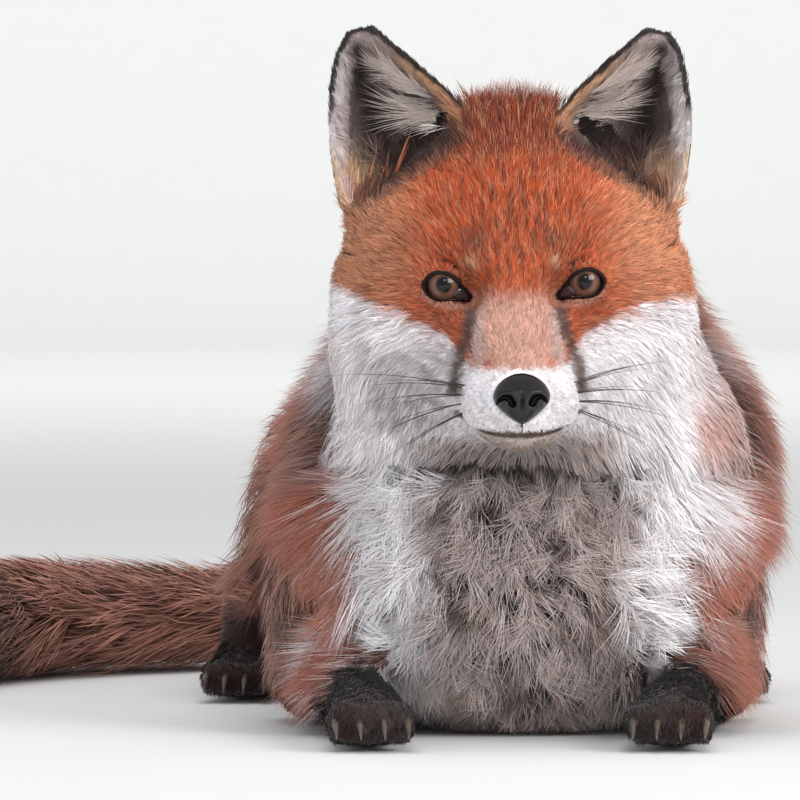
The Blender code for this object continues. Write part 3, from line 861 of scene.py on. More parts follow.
def body_markings(coat, places, normals):
    """The trunk's and neck's colours, and the shares of the chest's grey middle and of the bib."""
    x, y, z = places.T
    a = np.abs(x)
    wobble = ripple(places, 0.03, 11) * 0.006
    left = np.interp(z, (0.0, 0.06, 0.077, 0.094, 0.124, 0.17), (0.078, 0.086, 0.092, 0.099, 0.098, 0.088))
    right = np.interp(z, (0.0, 0.055, 0.073, 0.085, 0.115, 0.17), (0.070, 0.078, 0.080, 0.079, 0.078, 0.078))
    half = np.where(x > 0, left, right) + wobble
    low = 0.025 * fade(z, 0.095, 0.080)
    front = fade(y + wobble, low - 0.035, low - 0.065) * fade(z + wobble * 0.5, 0.162, 0.138)
    band = fade(a, half - 0.002, half + 0.005) * fade(a, half + 0.022, half + 0.010)
    bib = fade(a, half + 0.004, half - 0.008) * front
    chest = fade(y, -0.04, -0.07) * fade(a, 0.082, 0.070)
    bib = np.maximum(bib, fade(normals[:, 2], -0.45, -0.7) * fade(z, 0.13, 0.11) * chest)
    collar = spot((x - 0.086) / MM, (z + wobble - 0.130) / MM, 14.0) * fade(y, -0.05, -0.075)
    middle = fade(np.abs(x - 0.006 + wobble), 0.060, 0.038) * fade(z, 0.160, 0.140) * bib
    # Painted shade: umber darkens the gaps between the chest's clumps, where shadow falls among the locks.
    clump_gap_shade = fade(ripple(places * (1.0, 1.0, 0.7), 0.009, 14), 0.0, 0.8) * fade(z, 0.126, 0.112)
    colour = lay_all(
        all_over(coat.flank, places), coat,
        ("russet", 0.18 + 0.2 * ripple(places, 0.05, 12)),
        ("rufous", fade(z, 0.15, 0.22) * 0.45),
        ("grey", fade(z, 0.045, 0.02) * fade(a, 0.10, 0.07) * fade(y, -0.10, -0.05)),
        ("rufous", band * front * fade(z, 0.07, 0.10) * 0.5),
        ("white", bib),
        ("cream", collar * 0.7),
        ("russet", collar * 0.35),
        ("grey", middle),
        ("umber", middle * clump_gap_shade * 0.9),
    )
    return colour, middle, bib


def brush_markings(coat, places):
    """The brush's colours along its length, to a white tip."""
    line = np.array(BRUSH_LINE)
    lengths = np.concatenate([[0.0], np.cumsum(np.linalg.norm(np.diff(line, axis=0), axis=1))])
    nearest = np.linalg.norm(places[:, None] - line[None], axis=2)
    weight = 1.0 / (nearest**3 + 1e-9)
    along = (weight * lengths).sum(1) / weight.sum(1) / lengths[-1]
    return lay_all(
        all_over(np.array(coat.flank) * 1.3, places), coat,
        ("tan", np.full(len(places), 0.20)),
        ("umber", fade(ripple(places, 0.02, 31), -0.1, 0.9) * 0.2),
        ("black", fade(along, 0.66, 0.78) * 0.55),
        ("white", fade(along + ripple(places, 0.02, 32) * 0.02, 0.84, 0.90)),
    )


def leg_markings(coat, places, fore):
    """A leg's colours: a dark stocking, and on the forelegs white above it."""
    x, y, z = places.T
    a = np.abs(x)
    colour = lay(all_over(coat.flank, places), coat.grey, fade(a, 0.072, 0.060) * fade(z, 0.05, 0.02) * 0.6)
    dark = fade(y, 0.19, 0.15) * fade(z, 0.05, 0.03)
    if fore:
        dark = fade(y, -0.075, -0.115) * fade(z, 0.052, 0.036)
        white = fade(a, 0.083, 0.072) * fade(y, -0.02, -0.05) * fade(z, 0.035, 0.055)
        colour = lay(colour, coat.white, white)
    return lay(colour, coat.black, dark * 0.94)


def face_markings(coat, places, normals):
    """The head's colours, and the share of the throat under the head, painted grey and darker at its roots as
    painted shade.
    """
    u, v, w = head_places(places).T
    a = np.abs(u)
    rough = ripple(places, 0.012, 21)
    fine = ripple(places, 0.005, 22)
    streak = ripple(places * np.array((2.6, 0.5, 0.4)), 0.008, 23)
    # The white of the cheeks, its upper edge and the tones in it, with painted shade over the fox's right
    # cheek.
    edge = np.interp(a, (20, 25, 31.5, 40, 50, 60, 78), (-38, -29, -21.5, -17.5, -13, -9.5, -8))
    edge = edge + np.where(u < 0, fade(a, 58, 78) * 9.0, 0.0) + rough * 1.2 + fine * 1.2
    cheek = fade(v, edge + 3.0, edge - 3.0) * fade(a, 19, 23) * fade(w + rough * 4, -90, -76)
    side = fade(a + rough * 3, 72, 84) * fade(v, -12, -28)
    # Painted shade, partly standing for grey hair streaks: umber over the middle of the fox's right cheek,
    # the side in shade.
    shade = fade(u, -24, -36) * fade(u, -72, -58) * fade(v, -24, -34) * fade(v, -78, -60) * cheek
    shade = shade * (0.38 + 0.22 * ripple(places * (1, 2, 4), 0.02, 24))
    below = fade(v, edge + 1.0, edge - 3.0) * fade(v, edge - 13.0, edge - 5.0) * fade(a, 76, 66) * cheek
    below = below * fade(ripple(places * (2, 1, 4), 0.010, 25), -0.3, 0.7)
    # The muzzle, lips, chin and throat, and the stripe from the eye to the whiskers.
    # Grey under the chin and throat: painted shade under the head.
    under = fade(v, -64, -70) * fade(w, 58, 48) * fade(a + rough * 4, 56, 34)
    lips = lip_gap(v, w)
    chin = fade(lips, 0.5, -0.5) * fade(w, 30, 38)
    gap, _ = to_line(np.stack([a, v, np.zeros(len(u))], 1), [(*point, 0.0) for point in TEAR_STRIPE])
    stripe = fade(gap + fine * 0.7, 4.2, 0.8) * fade(w, 0, 8)
    dots = fade(np.sin(v * 1.35) * np.sin((a + v * 0.3) * 1.25), 0.55, 0.9)
    dots = dots * fade(a, 15, 18) * fade(v, -41, -44)
    layers = [
        ("cream", fade(a, 30, 62) * fade(v, -30, 10) * 0.38),
        ("rufous", fade(v, 40, 74) * fade(a, 44, 20) * 0.85),
        ("rufous", fade(streak, -0.3, 0.8) * fade(a, 46, 14) * fade(v, -10, 12) * 0.6),
        ("umber", fade(streak, 0.3, 1.0) * fade(a, 20, 6) * fade(v, 0, 10) * 0.35),
        ("rufous", spot(a - 33, v + 13, 14) * 0.6),
        ("rufous", spot(a - 24, v - 4, 11) * 0.6),
        ("umber", spot(a - 16.5, v - 20.0, 6.5) * np.where(u < 0, 0.85, 0.5)),
        ("rufous", spot(a - 16.5, v - 20.0, 9.0) * 0.35),
        # Painted shade over the fox's right side of the face.
        ("umber", fade(u, -28, -50) * fade(v, -26, -8) * fade(v, 44, 22) * 0.18),
        ("cream", spot(a - 18.3, v - 10.5, 3.6) * 0.7),
        ("flank", fade(w, -60, -92) * 0.8),
        ("tan", fade(a, 19, 14) * fade(v, 2, -10) * fade(w, 0, 10)),
        ("grey", fade(a, 13, 17) * fade(a, 23, 19) * fade(v, -6, -16) * fade(w, 0, 10) * 0.7),
        ("white", cheek),
        ("white", side * 0.75),
        ("flank", side * (0.32 + 0.30 * fade(a, 80, 98))),
        ("russet", spot(u - 86, v + 68, 15) * 0.45),
        ("umber", shade),
        ("flank", below * 0.5),
        ("white", fade(v + fine * 0.8, -34 + a * 0.05, -37.5) * fade(w, 12, 22)),
        ("russet", spot(a - 14, v + 33.5, 4.5) * 0.55),
        ("white", fade(v, -60, -68) * fade(w, -90, -76) * fade(a, 84, 72)),
        ("grey", under),
        ("cream", chin * 0.35),
        ("umber", chin * 0.42),
        ("umber", fade(np.abs(lips), 2.0, 0.7) * fade(w, 12, 20) * 0.9),
        ("umber", stripe * 0.92),
        ("umber", spot(a - 28, v + 45, 4.0) * fade(w, 10, 20) * 0.8),
        ("umber", dots * fade(v, -61, -58) * fade(w, 25, 35) * 0.35),
    ]
    for side in (-1.0, 1.0):
        lid, _, up = eye_gap(u, v, side)
        here = (w > -25) & (side * u > 0)
        # Black round each eye: the lid's own dark rim, broader over the upper lid as painted shade under the
        # lid and its lashes.
        ring = 0.4 + 1.0 * fade(up, -2, 3)
        pale = fade(lid, 0.8, 1.6) * fade(lid, 4.2, 2.4) * fade(up, -1, -4)
        layers.append(("black", np.where(here, fade(lid, ring + 0.8, ring), 0.0) * 0.95))
        layers.append(("tan", np.where(here, pale, 0.0) * 0.6))
    # The ear's hollow carved into the head is painted umber and black: partly dark skin, partly painted shade
    # in the hollow.
    bowl = ear_bowl(places, EAR_BACK) * fade((normals @ HEAD_COLUMNS)[:, 2], -0.6, -0.3)
    layers += [("umber", bowl * 0.95), ("black", bowl * 0.35)]
    return lay_all(all_over(coat.russet, places), coat, *layers), under


def ear_markings(coat, places, normals):
    """The ears' colours: black behind, and pale round a dark well in front, whose darkness, with that of the
    ear's floor and middle, is partly the ear's own and partly painted shade in its hollow.
    """
    u, v, _ = head_places(places).T
    out, high, along, from_inner, from_outer, rim = ear_place(u, v)
    facing = (normals @ HEAD_COLUMNS)[:, 2]
    inside = np.maximum(fade(facing, -0.15, 0.25), ear_bowl(places, EAR_BACK) * fade(facing, -0.6, -0.3))
    rough = ripple(places, 0.006, 41)
    # deep, floor and well darken the hollow of the ear: partly dark skin, partly painted shade.
    deep = fade(from_inner, 8, 13) * fade(from_outer, 5, 9) * fade(along, 0.92, 0.78) * fade(high, 59, 68)
    fringe = fade(from_inner + rough, 11.5, 6.5) * fade(high, 56, 66)
    floor = fade(high, 66, 57) * fade(out, 66, 58)
    middle = np.interp(high, (50, 56, 63, 75, 86, 98), (42, 53, 58, 60, 65, 67))
    half = np.interp(high, (48, 56, 63, 75, 86, 98, 103), (5, 10, 10, 8, 6, 4.5, 3))
    well = np.exp(-(((out - middle - rough) / half) ** 2)) * fade(high, 106, 99)
    lining = lay_all(
        all_over(coat.umber, places), coat,
        ("grey", np.full(len(u), 0.30)),
        ("grey", fade(along, 0.80, 0.92) * 0.45),
        ("black", deep * 0.45),
        ("white", fade(from_outer + rough, 8.5, 4.5) * fade(along, 0.98, 0.82) * 0.60),
        ("cream", fringe * fade(high, 102, 86) * 0.8),
        ("russet", fringe * fade(high, 92, 66) * np.where(u < 0, 0.65, 0.4)),
        ("umber", floor * 0.9),
        ("black", floor * 0.35),
        ("cream", spot(out - 68.0, high - 50, 9.0) * 0.85),
        ("russet", spot(out - 65.5, high - 39.0, 9.5) * 0.95),
        ("cream", fade(from_outer, 3.5, 1.5) * fade(high, 62, 52) * 0.7),
        ("black", well * 0.95),
    )
    back = lay(all_over(coat.black, places), coat.umber, fade(along, 0.34, 0.14) * 0.8)
    edge = fade(rim + rough * 0.4, 3.0, 1.8) * fade(high, 66, 78)
    return lay(lay(back, lining, inside), coat.black, edge * 0.95)


def markings(coat, places, normals, on):
    """The coat's colour at the hairs' tips, and how much darker it is at their roots, which stands partly for
    the underfur's own colour and partly for painted shade deep in the coat.
    `on` holds each vertex's share of head, ear, foreleg, hindleg and brush."""
    colour, middle, bib = body_markings(coat, places, normals)
    # Darker roots: partly the underfur's own colour, partly painted shade deep in the coat; darkest in the
    # chest's grey middle low down, lightest in the bib.
    dark = 0.45 + 0.47 * bib - (0.15 + 0.65 * fade(places[:, 2], 0.124, 0.104)) * middle
    face, under = face_markings(coat, places, normals)
    colour = lay(colour, face, on["head"])
    # Darker roots under the chin: painted shade under the head.
    dark = dark + (0.62 - 0.42 * under - dark) * on["head"]
    colour = lay(colour, ear_markings(coat, places, normals), on["ear"])
    dark = dark + (0.8 - dark) * on["ear"]
    # Lighter roots on the forelegs, for less painted shade in the crease by the flank.
    dark = dark + np.clip(0.62 - dark, 0.0, None) * on["foreleg"]
    low = fade(places[:, 2], 0.085, 0.060)
    colour = lay(colour, leg_markings(coat, places, True), on["foreleg"] * low)
    colour = lay(colour, leg_markings(coat, places, False), on["hindleg"])
    colour = lay(colour, brush_markings(coat, places), on["brush"])
    return colour, np.clip(dark, 0.07, 1.0)


# The parts whose own markings are laid over the trunk's.
SHARES = ("head", "ear", "foreleg", "hindleg", "brush")


# ---------------------------------------------------------------- fur

PATCH = 0.003  # side of a tuft's patch on the map
FLOOR_GAP = 0.8 * MM  # between the lowest hair and the floor


class Hide:
    """What the fur needs to know of the skin."""

    def __init__(self, obj):
        mesh = obj.data
        self.places = points_of(mesh)
        self.normals = noted(mesh, "outward")
        self.lie = noted(mesh, "lie")
        self.sizes = noted(mesh, "sizes") * MM
        self.region = np.rint(noted(mesh, "region")).astype(int)
        self.on = {name: noted(mesh, f"on_{name}") for name in SHARES}
        mesh.calc_loop_triangles()
        self.corners = read(mesh.loop_triangles, "vertices", 3, np.int32)
        loops = read(mesh.loop_triangles, "loops", 3, np.int32)
        self.maps = read(mesh.uv_layers["OFBake"].uv, "vector", 2)[loops]
        self.tree = BVHTree.FromPolygons(self.places.tolist(), self.corners.tolist())
        a, b, c = (self.places[self.corners[:, i]] for i in range(3))
        self.areas = np.linalg.norm(np.cross(b - a, c - a), axis=1) / 2

    def pick(self, region, keep=None):
        """The triangles of a region, where `keep` says yes for each corner."""
        inside = np.isin(self.region, region)
        if keep is not None:
            inside = inside & keep
        return np.flatnonzero(inside[self.corners].all(axis=1))

    def scatter(self, triangles, count, rng, by_size=True):
        """Roots spread over some triangles, closer where the hairs are smaller."""
        corners = self.corners[triangles]
        weight = self.areas[triangles]
        if by_size:
            size = self.sizes[corners].mean(axis=1)
            weight = weight / (size[:, 1] * size[:, 2])
        edges = np.cumsum(weight)
        chosen = np.searchsorted(edges, (np.arange(count) + rng.random(count)) / count * edges[-1])
        chosen = np.minimum(chosen, len(triangles) - 1)
        first, second = rng.random((2, count))
        over = first + second > 1
        first, second = np.where(over, 1 - first, first), np.where(over, 1 - second, second)
        share = np.stack([1 - first - second, first, second], 1)
        corners = corners[chosen]

        def here(values):
            return (values * share[..., None]).sum(1)

        roots = {
            "place": here(self.places[corners]), "normal": unit(here(self.normals[corners])),
            "lie": unit(here(self.lie[corners])), "size": here(self.sizes[corners]),
            "map": here(self.maps[triangles][chosen]),
        }
        for name in SHARES:
            roots[f"on_{name}"] = (self.on[name][corners] * share).sum(1)
        return roots


def settle(hide, tips, heights):
    """How far each tip has to move to lie at its height over the skin nearest to it."""
    moves = np.zeros_like(tips)
    for i, (tip, height) in enumerate(zip(tips.tolist(), heights.tolist())):
        near, normal, _, _ = hide.tree.find_nearest(tip)
        moves[i] = normal * (height - (Vector(tip) - near).dot(normal))
    return moves


def turn_about(vectors, axes, angles):
    """Vectors square to their axes, turned about them."""
    return vectors * np.cos(angles)[:, None] + np.cross(axes, vectors) * np.sin(angles)[:, None]


def hair_mesh(name, root, lie, normal, length, height, width, curl, gather, sink, roll, segments):
    """Ribbons with a pointed end: steep at the root, flat at the tip. Returns the mesh, and for each
    vertex of a ribbon the share of its length and the side at which it lies, and its loops."""
    count = len(root)
    t = np.linspace(0.0, 1.0, segments + 1)
    side = unit(np.cross(lie, normal))
    rise = np.arcsin(np.clip(height / length, 0.03, 0.92))
    middle = (t[1:] + t[:-1]) / 2
    angle = rise[:, None] * (1.75 - 1.5 * middle)[None]
    step = (length / segments)[:, None, None]
    moves = (np.cos(angle)[..., None] * lie[:, None] + np.sin(angle)[..., None] * normal[:, None]) * step
    line = np.concatenate([np.zeros((count, 1, 3)), np.cumsum(moves, axis=1)], axis=1) + root[:, None]
    line += side[:, None] * (curl * length)[:, None, None] * (t**2)[None, :, None]
    line += gather[:, None] * (t**1.4)[None, :, None]
    line += sink[:, None] * (t**2)[None, :, None]
    line[..., 2] = np.maximum(line[..., 2], FLOOR_GAP)
    flat = unit(side * np.cos(roll)[:, None] + normal * np.sin(roll)[:, None])
    profile = np.array([0.8, 1.0, 0.72, 0.4])[:segments] if segments > 2 else np.array([1.0, 0.7])
    spread_out = flat[:, None] * (width[:, None] * profile[None] / 2)[..., None]
    body = line[:, :segments]
    per = 2 * segments + 1
    places = np.empty((count, per, 3))
    places[:, 0:per - 1:2] = body - spread_out
    places[:, 1:per - 1:2] = body + spread_out
    places[:, -1] = line[:, -1]
    along = np.empty(per)
    along[0:per - 1:2] = t[:segments]
    along[1:per - 1:2] = t[:segments]
    along[-1] = 1.0
    sideways = np.zeros(per)
    sideways[0:per - 1:2] = -1.0
    sideways[1:per - 1:2] = 1.0
    loops = [corner for k in range(segments - 1) for corner in (2 * k, 2 * k + 1, 2 * k + 3, 2 * k + 2)]
    loops = np.array(loops + [per - 3, per - 2, per - 1])
    starts = np.arange(segments) * 4
    offsets = np.arange(count)[:, None]
    corner = (loops[None] + offsets * per).ravel().astype(np.int32)
    start = (starts[None] + offsets * len(loops)).ravel().astype(np.int32)
    mesh = bpy.data.meshes.new(name)
    mesh.vertices.add(count * per)
    mesh.vertices.foreach_set("co", places.astype(np.float32).ravel())
    mesh.loops.add(len(corner))
    mesh.loops.foreach_set("vertex_index", corner)
    mesh.polygons.add(len(start))
    mesh.polygons.foreach_set("loop_start", start)
    mesh.update(calc_edges=True)
    soft = unit(normal)[:, None] + sideways[None, :, None] * flat[:, None] * 0.45
    soft = unit(soft + 0.25 * (np.cos(rise)[:, None] * normal)[:, None] - 0.12 * lie[:, None])
    mark = mesh.attributes.new("custom_normal", "FLOAT_VECTOR", "POINT")
    mark.data.foreach_set("vector", soft.astype(np.float32).ravel())
    return mesh, along, sideways, loops


def lay_map(mesh, centres, column, columns, along, sideways, loops):
    """Each tuft's own small patch, at its root's place on the skin's map. Its hairs stand side by
    side in the patch."""
    low, high = centres.min(axis=0), centres.max(axis=0)
    held = (centres - low) / (high - low) * (1 - 2 * PATCH) + PATCH
    u = (column[:, None] + 0.5 + 0.45 * sideways[None]) / columns - 0.5
    v = np.broadcast_to(along[None] - 0.5, u.shape)
    spots = held[:, None] + np.stack([u, v], 2) * PATCH
    layer = mesh.uv_layers.new(name="OFBake", do_init=False)
    layer.uv.foreach_set("vector", spots[:, loops].astype(np.float32).ravel())


def grow(settings, hide, name, region, finish, hairs, per_tuft=5, segments=3, keep=None, seed=1,
         tuft=2.0, pull=0.6, stray=0.10, wave=0.10, curl=0.06, stand=1.0, reach=1.0, width=1.0,
         turn=None, tint=None, hug=1.0, brighten=0.10, tip_from=(0.0, 0.85), ticking=0.3):
    """One piece of the coat: tufts rooted all over a region of the skin.
    tuft is a tuft's radius in millimetres, pull how far its hairs draw together at the tip, stray
    and wave how far they leave the lie of the coat, stand how high they reach in its depth, hug how
    closely they follow the skin, tip_from where along a hair its root's colour gives way to its
    tip's, and ticking how far single hairs differ in colour. stand, reach and hug may be worked
    out from the roots' places, as turn is, which gives the hairs another way to point."""
    rng = np.random.default_rng(seed)
    triangles = hide.pick(region, keep)
    if len(triangles) == 0:
        raise RuntimeError(f"{name} has no skin to grow on")
    share = settings.fullness * 1.0
    tufts = int(hairs * share) // per_tuft
    roots = hide.scatter(triangles, tufts, rng)
    place, normal, lie, size = roots["place"], roots["normal"], roots["lie"], roots["size"]
    lie = along_surface(lie, normal)
    if turn is not None:
        lie = along_surface(turn(place), normal)
    angle = wave * ripple(place, 0.018, seed + 100) * 2.0 + rng.normal(0, stray, tufts)
    lie = turn_about(lie, normal, angle)
    stand, reach, hug = (
        value(place) if callable(value) else np.full(tufts, value) for value in (stand, reach, hug)
    )
    length = size[:, 1] * reach * (1 + 0.12 * rng.normal(size=tufts)).clip(0.65, 1.4)
    seen = place + lie * (length * 0.75)[:, None] + normal * (size[:, 0] * 0.8)[:, None]
    tips, dark = markings(settings, seen, normal, {key: roots[f"on_{key}"] for key in SHARES})
    if tint is not None:
        tips = lay(tips, tint[0], np.full(tufts, tint[1]))
    ticking = ticking * (0.25 + 0.75 * fade(tips[:, 2], 0.6, 0.3)) * fade(tips[:, 0], 0.04, 0.2)
    tick = rng.random(tufts)
    tips = lay(tips, settings.umber, np.where(tick < 0.2, ticking, 0.0))
    tips = lay(tips, settings.cream, np.where(tick > 0.8, ticking * 0.6, 0.0))
    shade = 1 + brighten * rng.normal(size=tufts) + 0.05 * ripple(place, 0.012, seed + 7)
    tips = tips * shade.clip(0.6, 1.35)[:, None]
    stood = np.minimum(size[:, 0] * stand * 0.85, length * 0.9)
    flat = np.sqrt(length**2 - stood**2)
    ends = place + lie * flat[:, None] + normal * stood[:, None]
    sink = settle(hide, ends, stood) * hug[:, None]

    many = np.repeat(np.arange(tufts), per_tuft)
    count = len(many)
    column = np.tile(np.arange(per_tuft), tufts)
    side = np.cross(lie, normal)
    around = rng.uniform(0, FULL_TURN, count)
    out = np.sqrt(rng.random(count)) * tuft * MM
    offset = lie[many] * (np.cos(around) * out)[:, None] + side[many] * (np.sin(around) * out)[:, None]
    hair_lie = turn_about(lie[many], normal[many], rng.normal(0, stray * 0.6, count))
    hair_length = length[many] * rng.uniform(0.78, 1.16, count)
    height = (size[:, 0] * stand * rng.uniform(0.8, 1.15, tufts))[many] * rng.uniform(0.62, 1.05, count)
    bend = rng.normal(0, curl, tufts)[many] + rng.normal(0, curl * 0.5, count)
    mesh, along, sideways, loops = hair_mesh(
        name, place[many] + offset - normal[many] * 0.4 * MM, hair_lie, normal[many], hair_length, height,
        size[many, 2] * width * rng.uniform(0.75, 1.25, count), bend,
        -offset * pull * rng.uniform(0.6, 1.1, count)[:, None], sink[many], rng.normal(0, 0.35, count),
        segments,
    )
    own = tips[many] * (1 + 0.08 * rng.normal(size=count)).clip(0.7, 1.3)[:, None]
    tick = rng.random(count)
    own = lay(own, settings.umber, np.where(tick < 0.15, ticking[many], 0.0))
    own = lay(own, settings.cream, np.where(tick > 0.85, ticking[many] * 0.6, 0.0))
    # Roots darkened: partly the underfur's own colour, partly painted shade deep in the coat.
    base = own * dark[many][:, None]
    mix = fade(along, *tip_from)[None, :, None]
    colours = base[:, None] * (1 - mix) + own[:, None] * mix
    paint_points(mesh, "hair_colour", colours.reshape(-1, 3))
    lay_map(mesh, roots["map"][many], column, per_tuft, along, sideways, loops)
    return piece(name, mesh, finish)


# ---------------------------------------------------------------- operators


def settings_of(context):
    return context.scene.fox_coat, context.scene.fox_face, context.scene.fox_stage


def the_hide():
    skin = bpy.data.objects.get("skin")
    if skin is None:
        raise RuntimeError("the skin has to be made first")
    return Hide(skin)


class FOX_OT_skin(bpy.types.Operator):
    """Makes the one skin under the whole coat, and combs it"""

    bl_idname = "fox.skin"
    bl_label = "Skin"

    def execute(self, context):
        coat, _, _ = settings_of(context)
        # Fuse the flesh, smooth its steps away and keep its triangles for the face and ears.
        obj = fused_flesh()
        drop_islands(obj.data)
        places = points_of(obj.data)
        nodes = nearest_nodes(places)
        edges = edges_of(obj.data)
        stiff = 0.9 * member(nodes, "ear") + 0.6 * member(nodes, "forepaw", "hindpaw")
        hold = spread(stiff, edges, 2)
        put_points(obj.data, spread(places, edges, 34, hold))
        head = head_places(places)
        fine = member(nodes, "ear") + member(nodes, "head", "lower_jaw") * (head[:, 2] > -14)
        thin_out(obj, fine)

        # Move it in by the coat's depth, hollow the ears and shape the face.
        mesh = obj.data
        places = points_of(mesh)
        nodes = nearest_nodes(places)
        edges = edges_of(mesh)
        normals = normals_of(mesh)
        sizes = coat_sizes(places, nodes)
        on_ear = member(nodes, "ear")
        sizes = spread(sizes, edges, 14, spread(on_ear, edges, 1) * 0.7)
        sizes[:, 0] *= coat.thickness
        lie = spread(lie_of_coat(places, nodes), edges, 10)
        room = room_behind(mesh, places, normals, spread(on_ear, edges, 8) > 0.005)
        depth = np.minimum(sizes[:, 0] * MM, np.clip(room * 0.5 - 1.0 * MM, 0.4 * MM, None))
        on_head = member(nodes, "head", "lower_jaw") > 0
        inner = places - normals * depth[:, None]
        inner = spread(inner, edges, 5, np.clip(spread(on_ear, edges, 2) + on_head * 0.6, 0, 1))
        bowl = ear_bowl(places) * spread(on_head.astype(float), edges, 2)
        room = room_behind(mesh, inner, normals, bowl > 0.01)
        carved = spread(np.minimum(bowl * BOWL_DEPTH, np.clip(room - EAR_WALL, 0.0, None)), edges, 2)
        inner = inner - normals * carved[:, None]
        inner, groove = shape_face(inner, on_head)
        put_points(mesh, inner - normals * (groove * MM)[:, None])
        settled = spread(points_of(mesh), edges, 2, np.where(on_ear > 0, 0.9, 0.55))
        put_points(mesh, settled)

        # Keep what the fur needs to know at each vertex, and paint the skin with its markings and with
        # painted shade where the coat over it is deep.
        outward = unit(spread(normals_of(mesh), edges, 2))
        head = head_places(settled)
        lie = np.where(on_head[:, None], away_from(head, lie), lie)
        note(mesh, "outward", outward)
        note(mesh, "lie", along_surface(lie, outward))
        sizes = self.near_features(head, sizes, on_head)
        bowl = fade(ear_bowl(settled), 0.02, 0.12) * on_head
        ear_sizes = np.array([size for start, *size in COAT_SIZES if start == "ear"])
        sizes = sizes + (ear_sizes - sizes) * bowl[:, None]
        note(mesh, "sizes", sizes)
        region = regions_of(settled, outward, nodes)
        region[bowl > 0.5] = EAR
        note(mesh, "region", region.astype(float))
        shares = {
            "head": member(nodes, "head", "lower_jaw"), "ear": np.maximum(on_ear, bowl),
            "foreleg": member(nodes, "upper_arm", "forearm", "forepaw"),
            "hindleg": member(nodes, "thigh", "shank", "instep", "hindpaw"), "brush": member(nodes, "tail"),
        }
        for name, share in shares.items():
            shares[name] = np.clip(spread(share, edges, 3 if name == "ear" else 10), 0, 1)
            note(mesh, f"on_{name}", shares[name])
        colours, dark = markings(coat, settled + outward * depth[:, None] * 0.5, outward, shares)
        # Painted shade under the fur: the skin is darker where the coat is deep and its roots dark.
        deep = np.clip(sizes[:, 0] / 8.0, 0.0, 1.0)
        colours = colours * (0.92 - 0.80 * deep * (1 - dark))[:, None]
        paint_points(mesh, "markings", colours)
        bpy.data.objects.remove(obj)
        skin = piece("skin", mesh, skin_finish(), FLESH)
        unwrap(skin)
        return {"FINISHED"}

    @staticmethod
    def near_features(head, sizes, on_head):
        """Shorter hairs close to the eyes, the nose and the lips."""
        u, v, w = head.T
        sizes = sizes.copy()
        for side in (-1.0, 1.0):
            gap = eye_gap(u, v, side)[0]
            here = on_head & (side * u > 0) & (w > -25)
            short = np.where(here, 0.38 + 0.62 * fade(gap, 1.0, 11.0), 1.0)
            sizes[:, 1] *= short
            sizes[:, 0] *= np.where(here, 0.35 + 0.65 * fade(gap, 1.0, 9.0), 1.0)
        nose = np.hypot(u / 1.1, v - NOSE_CENTRE[1])
        short = np.where(on_head & (w > 40), 0.55 + 0.45 * fade(nose, 11.0, 20.0), 1.0)
        sizes[:, 1] *= short
        sizes[:, 2] *= 0.6 + 0.4 * short
        return sizes


class FOX_OT_eyes(bpy.types.Operator):
    """Makes the two eyeballs, each with its clear bulge, iris and pupil"""

    bl_idname = "fox.eyes"
    bl_label = "Eyes"

    def finish(self, face):
        """Pupil, streaked iris and dark ring by the distance from the eye's own axis."""
        finish = Finish("eye_amber", 0.3, 0.1, Coat_Weight=1.0, Coat_Roughness=0.02, Coat_IOR=1.38)
        split = finish.node("ShaderNodeSeparateXYZ", finish.place()).outputs
        narrow = finish.node("ShaderNodeMath", split["Y"], 0.90, operation="MULTIPLY").outputs[0]
        flat = finish.node("ShaderNodeCombineXYZ", split["X"], narrow).outputs[0]
        radius = finish.node("ShaderNodeVectorMath", flat, operation="LENGTH").outputs["Value"]
        scaled = finish.node("ShaderNodeMath", radius, 1.0 / (10.0 * MM), operation="MULTIPLY").outputs[0]
        ray = finish.node("ShaderNodeVectorMath", flat, operation="NORMALIZE").outputs[0]
        streaks = finish.node("ShaderNodeTexNoise", ray, Scale=9.0, Detail=3.0).outputs["Fac"]
        uneven = finish.node("ShaderNodeMath", streaks, 0.05, scaled, operation="MULTIPLY_ADD").outputs[0]
        iris, pupil = face.iris_radius / 10.0, face.pupil_radius / 10.0
        colour = np.array(face.iris)
        rings = finish.ramp(
            uneven,
            (pupil - 0.01, (0.004, 0.003, 0.003)),
            (pupil + 0.025, colour * 0.45),
            (pupil + 0.12, colour * 1.25),
            (iris - 0.12, colour * 0.85),
            (iris - 0.03, colour * 0.30),
            (iris + 0.03, (0.012, 0.008, 0.007)),
            (iris + 0.16, (0.05, 0.032, 0.026)),
        )
        spokes = finish.node("ShaderNodeTexNoise", ray, Scale=26.0, Detail=2.0).outputs["Fac"]
        finish.paint(finish.shaded(rings, finish.between(spokes, 0.72, 1.3)))
        return finish.material

    def execute(self, context):
        _, face, _ = settings_of(context)
        material = self.finish(face)
        rings, sides = 40, 64
        # Rings from the front, where the clear bulge is, to well behind the lids.
        places = []
        for ring in range(rings):
            angle = math.radians(125) * ring / (rings - 1)
            bulge = 0.75 * math.exp(-((angle / 0.52) ** 2))
            radius = face.eye_radius + bulge
            across = radius * math.sin(angle)
            for k in range(sides):
                turn = FULL_TURN * k / sides
                place = (across * math.cos(turn), across * math.sin(turn), radius * math.cos(angle))
                places.append([length * MM for length in place])
        for name, side in (("eye_right", -1.0), ("eye_left", 1.0)):
            mesh = closed_mesh(f"{name}_ball", places, rings, sides)
            obj = piece(f"{name}_ball", mesh, material, (name,))
            obj.matrix_world = Matrix.Translation(in_head(side * EYE_APART, 0, EYE_SINK)) @ HEAD.to_4x4()
        return {"FINISHED"}


